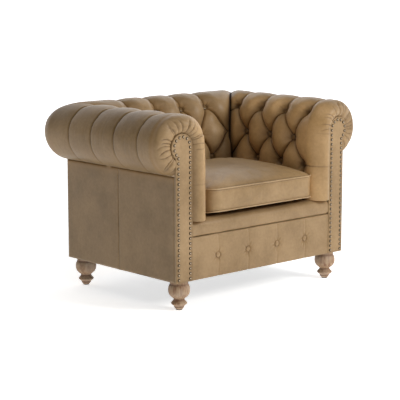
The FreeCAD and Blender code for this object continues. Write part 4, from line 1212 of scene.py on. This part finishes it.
moved[zone_of == "boxing"] *= 0.55
moved[(zone_of == "boxing") & (start_points[:, 1] > 0.085)] *= 0.1
case_points = start_points + moved
top = zone_of == "top"
case_points[top, 2] = np.minimum(case_points[top, 2], cushion_crown + 0.007)
case_mesh.vertices.foreach_set("co", case_points.reshape(-1))
case_mesh.update()
finer = cushion.modifiers.new("finer", "SUBSURF")
finer.levels = 1
finer.render_levels = 1
finer.use_limit_surface = False
graph = bpy.context.evaluated_depsgraph_get()
smooth_case = bpy.data.meshes.new_from_object(cushion.evaluated_get(graph))
bpy.data.objects.remove(cushion)
count = len(smooth_case.vertices)
co = np.zeros(count * 3)
smooth_case.vertices.foreach_get("co", co)
co = co.reshape(-1, 3)
to_edge = np.minimum(np.minimum(co[:, 0] - cushion_x[0], cushion_x[1] - co[:, 0]),
                     np.minimum(co[:, 1] - cushion_y[0], cushion_y[1] - co[:, 1]))
crease_dice = random.Random(31)
for _ in range(34):
    at = np.array([crease_dice.uniform(-0.24, 0.27), crease_dice.uniform(-0.35, 0.09)])
    heading = crease_dice.uniform(0.0, math.pi)
    long = crease_dice.uniform(0.02, 0.06)
    wide = crease_dice.uniform(0.005, 0.012)
    run = (co[:, 0] - at[0]) * math.cos(heading) + (co[:, 1] - at[1]) * math.sin(heading)
    off = -(co[:, 0] - at[0]) * math.sin(heading) + (co[:, 1] - at[1]) * math.cos(heading)
    dent = crease_dice.uniform(0.0003, 0.0010) * np.exp(-(run / long) ** 2 - (off / wide) ** 2)
    co[:, 2] -= dent * (co[:, 2] > cushion_edge + 0.004)
slit = np.clip((0.0125 - np.abs(co[:, 2] - 0.3895)) / 0.004, 0.0, 1.0) * (co[:, 1] > 0.085)
slit *= np.clip((0.238 - np.abs(co[:, 0] - 0.013)) / 0.004, 0.0, 1.0)
co[:, 1] = co[:, 1] * (1.0 - slit) + np.minimum(co[:, 1], 0.0946) * slit
lying = np.column_stack([co[:, :2], turned_up(co[:, 1], co[:, 2])])
smooth_case.vertices.foreach_set("co", lying.reshape(-1))
# Painted shade: darker towards the bottom seam, and a dark line along the top seam.
to_seam = np.abs(co[:, 2] - cushion_low)
hollow = np.where(to_seam < 0.02, 0.35 * (1.0 - to_seam / 0.02), 0.0)
fold = 0.5 * np.exp(-(np.abs(co[:, 2] - cushion_edge) / 0.0028) ** 2) * (to_edge < 0.006)
smooth_case.polygons.foreach_set("use_smooth", [True] * len(smooth_case.polygons))
smooth_case.materials.clear()
smooth_case.materials.append(cushion_hide)
cushion = bpy.data.objects.new("seat_cushion_case", smooth_case)
bpy.context.scene.collection.objects.link(cushion)
mark(cushion, "hollow", hollow)
mark(cushion, "fold", fold)
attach(cushion, "seat_cushion")
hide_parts("cushion_core", "cushion_top_panel", "cushion_bottom_panel", "cushion_boxing",
            "cushion_zip_panel")

piping_hide = tan_hide("piping_hide", (0.480, 0.335, 0.185), (0.380, 0.255, 0.132), 0.38)


def piping_tube(name, path, radius, sides, finish):
    """A round tube along a closed path of points."""
    path = np.asarray(path, float)
    ahead = np.roll(path, -1, axis=0) - np.roll(path, 1, axis=0)
    ahead /= np.linalg.norm(ahead, axis=1)[:, None]
    sideways = np.cross(ahead, np.array([0.0, 0.0, 1.0]))
    sideways /= np.linalg.norm(sideways, axis=1)[:, None]
    upward = np.cross(sideways, ahead)
    points = []
    for k in range(len(path)):
        for j in range(sides):
            a = 2.0 * math.pi * j / sides
            points.append(tuple(path[k] + radius * (sideways[k] * math.cos(a) + upward[k] * math.sin(a))))
    faces = loop_faces(len(path) + 1, sides)[:-2]
    faces = [[corner % len(points) for corner in face[::-1]] for face in faces]
    return new_piece(name, points, faces, finish)


def seam_path(inset, height):
    """A line round the cushion at some height, turned up with its front edge."""
    return [(x, y, float(turned_up(y, height))) for x, y in seam_loop(inset, 420)]


for name, height in (("cushion_piping_top", cushion_edge + 0.0006),
                     ("cushion_piping_bottom", cushion_low + 0.0010)):
    welt = piping_tube(name, seam_path(0.0022, height), 0.0026, 10, piping_hide)
    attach(welt, "seat_cushion")
    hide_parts("cushion_piping")


# ---------------------------------------------------------------- stitching
# Waxed linen thread, a little paler than the hide, runs beside the piping of the cushion
# and in two rows at the upright seam of each side.

stitch_pitch = 0.0046
thread, tree, shader, place = new_finish("linen_thread")
twist = texture(tree, "Wave", place, scale=420.0, distortion=1.5)
twisted = ramp(tree, twist.outputs["Fac"], (0.0, (0.36, 0.25, 0.14)), (1.0, (0.56, 0.43, 0.27)))
tree.links.new(twisted, shader.inputs["Base Color"])
shader.inputs["Roughness"].default_value = 0.7
stitch_profile = [(0.0, -0.0017), (0.00030, -0.0016), (0.00045, -0.0010), (0.00045, 0.0010),
                  (0.00030, 0.0016), (0.0, 0.0017)]
stitch_pattern = turned("stitch_pattern", stitch_profile, 5, thread)


def stitch_row(name, path, body):
    """Stitches end to end along a path, lying on the hide."""
    path = np.asarray(path, float)
    steps = np.linalg.norm(np.diff(path, axis=0), axis=1)
    along = np.concatenate([[0.0], np.cumsum(steps)])
    wanted = np.linspace(0.0, along[-1], int(along[-1] / stitch_pitch) + 1)
    spots = np.stack([np.interp(wanted, along, path[:, k]) for k in range(3)], axis=1)
    ways = np.gradient(spots, axis=0)
    row = set_in_place(name, stitch_pattern, spots.tolist(), ways.tolist(), thread, 2)
    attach(row, body)


for name, height in (("top_stitching", cushion_edge - 0.0068), ("bottom_stitching", cushion_low + 0.0082)):
    loop = seam_path(0.0012, height)
    stitch_row(name, loop + loop[:1], "seat_cushion")
for side, word in ((1, "left"), (-1, "right")):
    for shift, place_word in ((-0.0042, "front"), (0.0042, "rear")):
        ends = [(side * (half_width - 0.0009), side_seam + shift, height)
                for height in (panel_low + 0.004, panel_high - 0.004)]
        stitch_row("side_stitching_" + word + "_" + place_word, ends, "chair_body")
bpy.data.objects.remove(stitch_pattern)


# ---------------------------------------------------------------- the zip
# A dull brass zip on cotton tape closes the back of the cushion case. Its teeth
# are clamped to the tapes' edges; the slider hangs its pull tab down.

zip_brass, tree, shader, place = new_finish("zip_brass")
tarnish = texture(tree, "Noise", place, scale=180.0, detail=4.0)
tarnished = ramp(tree, tarnish.outputs["Fac"], (0.3, (0.22, 0.15, 0.06)), (0.7, (0.52, 0.39, 0.18)))
tree.links.new(tarnished, shader.inputs["Base Color"])
shader.inputs["Metallic"].default_value = 1.0
shader.inputs["Roughness"].default_value = 0.38


def woven(name, warp, weft, scale, roughness):
    """A plain weave: warp and weft bands crossing, with a little slub."""
    finish, tree, shader, place = new_finish(name)
    bands = []
    for axis in "XYZ":
        band = texture(tree, "Wave", place, scale=scale, distortion=0.8, detail=2.0)
        band.bands_direction = axis
        bands.append(band.outputs["Fac"])
    crossing = tree.nodes.new("ShaderNodeMath")
    crossing.operation = "MULTIPLY"
    tree.links.new(bands[0], crossing.inputs[0])
    tree.links.new(bands[1], crossing.inputs[1])
    cloth_height = tree.nodes.new("ShaderNodeMath")
    cloth_height.operation = "ADD"
    tree.links.new(crossing.outputs["Value"], cloth_height.inputs[0])
    tree.links.new(bands[2], cloth_height.inputs[1])
    tone = mixed(tree, crossing.outputs["Value"], (*warp, 1.0), (*weft, 1.0))
    tree.links.new(tone, shader.inputs["Base Color"])
    tree.links.new(bump(tree, cloth_height.outputs["Value"], 0.5, 0.0006), shader.inputs["Normal"])
    shader.inputs["Roughness"].default_value = roughness
    shader.inputs["Sheen Weight"].default_value = 0.2
    return finish


zip_tape_cloth = woven("zip_tape_cloth", (0.11, 0.075, 0.04), (0.19, 0.13, 0.07), 300.0, 0.85)
chain_low, chain_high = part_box("zip_chain")
zip_height = (chain_low.z + chain_high.z) / 2
tape_x, tape_z = np.meshgrid(np.linspace(chain_low.x - 0.002, chain_high.x + 0.002, 120),
                             np.linspace(zip_height - 0.0085, zip_height + 0.0085, 9))
tape_y = chain_low.y + 0.0005 - 0.0003 * np.abs(tape_z - zip_height) / 0.0085
unmarked = np.zeros_like(tape_x)
tape = panel_grid("zip_tape", tape_x, tape_y, tape_z, chain_low.y - 0.0008, unmarked, unmarked,
                  zip_tape_cloth)
tape.data.flip_normals()
tooth = bpy.data.meshes.new("zip_tooth")
tooth_points = []
for high, wide, proud in ((-0.0020, 0.00055, 0.0009), (-0.0004, 0.00075, 0.0013),
                          (0.0011, 0.00055, 0.0011)):
    for x, y in ((-wide, 0.0), (wide, 0.0), (wide, proud), (-wide, proud)):
        tooth_points.append((x, y, high))
tooth_faces = [(3, 2, 1, 0), (8, 9, 10, 11)]
for level in (0, 4):
    for k in range(4):
        after = (k + 1) % 4
        tooth_faces.append((level + k, level + after, level + 4 + after, level + 4 + k))
tooth.from_pydata(tooth_points, [], tooth_faces)
tooth_pattern = bpy.data.objects.new("zip_tooth", tooth)
bpy.context.scene.collection.objects.link(tooth_pattern)


def teeth_tree():
    """Teeth at even steps along a line, every other one from the opposite tape."""
    tree, given, shown = pattern_tree("zip_teeth", [("Pitch", "Float")])
    to_line = tree.nodes.new("GeometryNodeMeshToCurve")
    tree.links.new(given["Geometry"], to_line.inputs["Mesh"])
    step_out = tree.nodes.new("GeometryNodeResampleCurve")
    step_out.mode = "LENGTH"
    tree.links.new(to_line.outputs["Curve"], step_out.inputs["Curve"])
    tree.links.new(given["Pitch"], step_out.inputs["Length"])
    number = tree.nodes.new("GeometryNodeInputIndex")
    odd = tree.nodes.new("ShaderNodeMath")
    odd.operation = "MODULO"
    odd.inputs[1].default_value = 2.0
    tree.links.new(number.outputs["Index"], odd.inputs[0])
    half_turn = tree.nodes.new("ShaderNodeMath")
    half_turn.operation = "MULTIPLY"
    half_turn.inputs[1].default_value = math.pi
    tree.links.new(odd.outputs["Value"], half_turn.inputs[0])
    turn = tree.nodes.new("ShaderNodeCombineXYZ")
    tree.links.new(half_turn.outputs["Value"], turn.inputs["Y"])
    set_patterns(tree, given, shown, step_out.outputs["Curve"], turn.outputs["Vector"])
    return tree


tooth_line = bpy.data.meshes.new("zip_tooth_line")
tooth_line.from_pydata([(chain_low.x + 0.001, chain_low.y + 0.0004, zip_height),
                        (chain_high.x - 0.001, chain_low.y + 0.0004, zip_height)], [(0, 1)], [])
teeth = finish_tree("zip_teeth", tooth_line, teeth_tree(), {"Pattern": tooth_pattern, "Finish": zip_brass,
                                                            "Pitch": 0.0021})
bpy.data.objects.remove(tooth_pattern)
for piece in (tape, teeth):
    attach(piece, "seat_cushion")
    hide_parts("zip_chain")

slider_low, slider_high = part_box("zip_slider")
slider_middle = (slider_low.x + slider_high.x) / 2


def plate(outline, near_y, far_y, edge, hole=None):
    """A flat upright plate with softened edges, and an eye through it if wanted."""
    points = []
    rings = [(edge, near_y), (0.0, near_y + edge), (0.0, far_y - edge), (edge, far_y)]
    centre = np.mean(np.array(outline), axis=0)
    count = len(outline)
    for pull, depth in rings:
        for x, z in outline:
            way = np.array([x, z]) - centre
            way = way / np.linalg.norm(way)
            points.append((x - way[0] * pull, depth, z - way[1] * pull))
    faces = loop_faces(len(rings), count)
    if hole is not None:
        faces = faces[:-2]
        hole_x, hole_z, hole_radius = hole
        base = len(points)
        for depth in (near_y, far_y):
            for x, z in outline:
                way = np.array([x - hole_x, z - hole_z])
                way = way / np.linalg.norm(way)
                points.append((hole_x + way[0] * hole_radius, depth, hole_z + way[1] * hole_radius))
        for k in range(count):
            after = (k + 1) % count
            faces.append((after, k, base + k, base + after))
            faces.append((3 * count + k, 3 * count + after, base + count + after, base + count + k))
            faces.append((base + after, base + k, base + count + k, base + count + after))
    return points, faces


def oblong(x, low, high, half, shoulder):
    """A tall rounded outline about x."""
    path = []
    for k in range(9):
        a = math.pi * k / 8
        path.append((x + half * math.cos(a), high - shoulder + shoulder * math.sin(a)))
    for k in range(9):
        a = math.pi + math.pi * k / 8
        path.append((x + half * math.cos(a), low + shoulder + shoulder * math.sin(a)))
    return path


eye = (slider_middle, slider_high.z - 0.0085, 0.0013)
parts = [plate(oblong(slider_middle, slider_high.z - 0.0098, slider_high.z, 0.0045, 0.0030),
               slider_low.y, slider_low.y + 0.0016, 0.0003),
         plate(oblong(slider_middle, slider_high.z - 0.0075, slider_high.z - 0.0025, 0.0012, 0.0010),
               slider_low.y + 0.0012, slider_high.y, 0.0002),
         plate(oblong(slider_middle, slider_low.z, slider_high.z - 0.0052, 0.0030, 0.0030),
               slider_low.y + 0.0013, slider_low.y + 0.0022, 0.0003, eye)]
slider_points = []
slider_faces = []
for points, faces in parts:
    base = len(slider_points)
    slider_points += points
    slider_faces += [[base + k for k in face] for face in faces]
slider = new_piece("zip_slider_brass", slider_points, slider_faces, zip_brass)
slider.data.polygons.foreach_set("use_smooth", [False] * len(slider_faces))
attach(slider, "zip_slider")
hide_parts("zip_slider")


# ---------------------------------------------------------------- turned feet
# Four hardwood feet are turned on a lathe: a bulb, a waist, a sharp ring and a small cup.
# They are limed and rubbed back, so red-brown grain shows through a pale wash.

foot_wood, tree, shader, place = new_finish("limed_foot_wood")
along_grain = tree.nodes.new("ShaderNodeMapping")
along_grain.inputs["Scale"].default_value = (1.0, 1.0, 0.16)
tree.links.new(place, along_grain.inputs["Vector"])
grain = texture(tree, "Noise", along_grain.outputs["Vector"], scale=120.0, detail=7.0, roughness=0.65,
                distortion=0.4)
tone = ramp(tree, grain.outputs["Fac"], (0.36, (0.225, 0.110, 0.058)), (0.48, (0.335, 0.205, 0.118)),
            (0.62, (0.430, 0.295, 0.180)))
wash = texture(tree, "Noise", place, scale=26.0, detail=3.0)
wash_share = fitted(tree, wash.outputs["Fac"], (0.42, 0.68), (0.0, 0.45))
tone = mixed(tree, wash_share, tone, (0.52, 0.42, 0.32, 1.0))
tone = mixed(tree, mark_of(tree, "groove"), tone, (0.125, 0.062, 0.034, 1.0))
tree.links.new(tone, shader.inputs["Base Color"])
tree.links.new(bump(tree, grain.outputs["Fac"], 0.35, 0.0008), shader.inputs["Normal"])
shader.inputs["Roughness"].default_value = 0.58
shader.inputs["Specular IOR Level"].default_value = 0.35

foot_profile = [(0.0, 0.0030), (0.0120, 0.0030), (0.0138, 0.0036), (0.0146, 0.0054), (0.0162, 0.0070),
                (0.0180, 0.0086), (0.0186, 0.0110), (0.0190, 0.0136), (0.0212, 0.0162), (0.0252, 0.0196),
                (0.0290, 0.0228), (0.0302, 0.0244), (0.0305, 0.0256), (0.0300, 0.0270), (0.0282, 0.0300),
                (0.0250, 0.0334), (0.0220, 0.0368), (0.0204, 0.0396), (0.0202, 0.0414), (0.0212, 0.0434),
                (0.0248, 0.0464), (0.0296, 0.0502), (0.0344, 0.0548), (0.0382, 0.0606), (0.0405, 0.0674),
                (0.0413, 0.0748), (0.0411, 0.0820), (0.0400, 0.0882), (0.0381, 0.0932), (0.0356, 0.0970),
                (0.0342, 0.0990), (0.0346, 0.1004), (0.0346, 0.1060), (0.0342, 0.1110), (0.0336, 0.1120),
                (0.0, 0.1120)]
foot_grooves = (0.0400, 0.0992, 0.0125)
foot_nodes = (("foot_front_left", 0.398, -0.326), ("foot_front_right", -0.398, -0.326),
              ("foot_rear_left", 0.398, 0.240), ("foot_rear_right", -0.398, 0.240))
for name, x, y in foot_nodes:
    foot = turned(name + "_turned", foot_profile, 64, foot_wood)
    values = []
    for vertex in foot.data.vertices:
        near = min(abs(vertex.co.z - groove) for groove in foot_grooves)
        values.append(0.75 * math.exp(-(near / 0.0028) ** 2))
    mark(foot, "groove", values)
    for vertex in foot.data.vertices:
        vertex.co.x += x
        vertex.co.y += y
    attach(foot, "chair_body")
    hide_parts(name)


# ---------------------------------------------------------------- glides and hardware
# Hard plastic glides are nailed under the feet. Zinc-plated hanger bolts, tee nuts, block
# screws, spring clips and the sinuous springs are bought in.

glide_plastic, tree, shader, place = new_finish("glide_plastic")
scuffs = texture(tree, "Noise", place, scale=300.0)
scuffed = ramp(tree, scuffs.outputs["Fac"], (0.0, (0.018, 0.016, 0.014)), (1.0, (0.075, 0.068, 0.060)))
tree.links.new(scuffed, shader.inputs["Base Color"])
shader.inputs["Roughness"].default_value = 0.5

zinc, tree, shader, place = new_finish("zinc_steel")
spangle = texture(tree, "Voronoi", place, scale=240.0)
spangled = ramp(tree, spangle.outputs["Distance"], (0.0, (0.40, 0.40, 0.42)), (1.0, (0.62, 0.62, 0.64)))
tree.links.new(spangled, shader.inputs["Base Color"])
shader.inputs["Metallic"].default_value = 1.0
shader.inputs["Roughness"].default_value = 0.42


def dress_nodes(slot_name, finish):
    """Give every CAD piece of one material slot its finish."""
    for part in frame["record"]["subparts"]:
        node = frame["nodes"][part["node"]]
        if part["material_slot"] == slot_name:
            node.data.materials.clear()
            node.data.materials.append(finish)


dress_nodes("glide_plastic", glide_plastic)
dress_nodes("steel", zinc)


# ---------------------------------------------------------------- the beech frame
# Kiln-dried beech rails and posts are dowelled and glued, with glue blocks screwed in the
# corners. They are planed but unfinished, because hide and dust cloth cover them.

beech, tree, shader, place = new_finish("planed_beech")
lengthwise = tree.nodes.new("ShaderNodeMapping")
lengthwise.inputs["Scale"].default_value = (0.12, 0.5, 1.0)
tree.links.new(place, lengthwise.inputs["Vector"])
figure = texture(tree, "Noise", lengthwise.outputs["Vector"], scale=70.0, detail=6.0)
figured = ramp(tree, figure.outputs["Fac"], (0.35, (0.46, 0.31, 0.18)), (0.65, (0.66, 0.50, 0.33)))
tree.links.new(figured, shader.inputs["Base Color"])
shader.inputs["Roughness"].default_value = 0.65
dress_nodes("frame_timber", beech)


# ---------------------------------------------------------------- webbing, hessian and dust cloth
# Jute webbing is strained behind the arms and back, hessian lies over the seat springs under
# the platform pad, and black dust cloth is tacked under the rails to hide it all.

jute = woven("jute_webbing", (0.20, 0.15, 0.10), (0.38, 0.30, 0.21), 170.0, 0.9)
dress_nodes("webbing", jute)
hessian_cloth = woven("hessian_cloth", (0.30, 0.22, 0.13), (0.52, 0.41, 0.27), 210.0, 0.92)
dust_cloth = woven("black_dust_cloth", (0.012, 0.012, 0.012), (0.035, 0.034, 0.033), 330.0, 0.95)


def strained_sheet(name, node, finish, sag):
    """A thin cloth tacked flat round its edges, that dips a little in the middle."""
    low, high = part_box(node)
    x, y = np.meshgrid(np.linspace(low.x, high.x, 96), np.linspace(low.y, high.y, 72))
    across_share = (x - low.x) / (high.x - low.x)
    along_share = (y - low.y) / (high.y - low.y)
    dome = np.clip(np.sin(across_share * math.pi) * np.sin(along_share * math.pi) * 1.6 - 0.35, 0.0, 1.0)
    points = np.stack([x, y, np.full_like(x, low.z) - sag * dome], axis=-1).reshape(-1, 3)
    above = points + np.array([0.0, 0.0, high.z - low.z])
    here = np.arange(x.size).reshape(x.shape)
    quads = np.stack([here[:-1, :-1], here[1:, :-1], here[1:, 1:], here[:-1, 1:]], axis=-1).reshape(-1, 4)
    faces = quads.tolist() + (quads[:, ::-1] + x.size).tolist()
    rim = np.concatenate([here[:-1, 0], here[-1, :-1], here[:0:-1, -1], here[0, :0:-1]])
    after = np.roll(rim, -1)
    faces += np.stack([rim + x.size, after + x.size, after, rim], axis=-1).tolist()
    cloth_piece = new_piece(name, np.vstack([points, above]).tolist(), faces, finish)
    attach(cloth_piece, "chair_body")
    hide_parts(node)


strained_sheet("dust_cloth", "dust_cover", dust_cloth, 0.003)
strained_sheet("seat_hessian_cloth", "seat_hessian", hessian_cloth, 0.0)
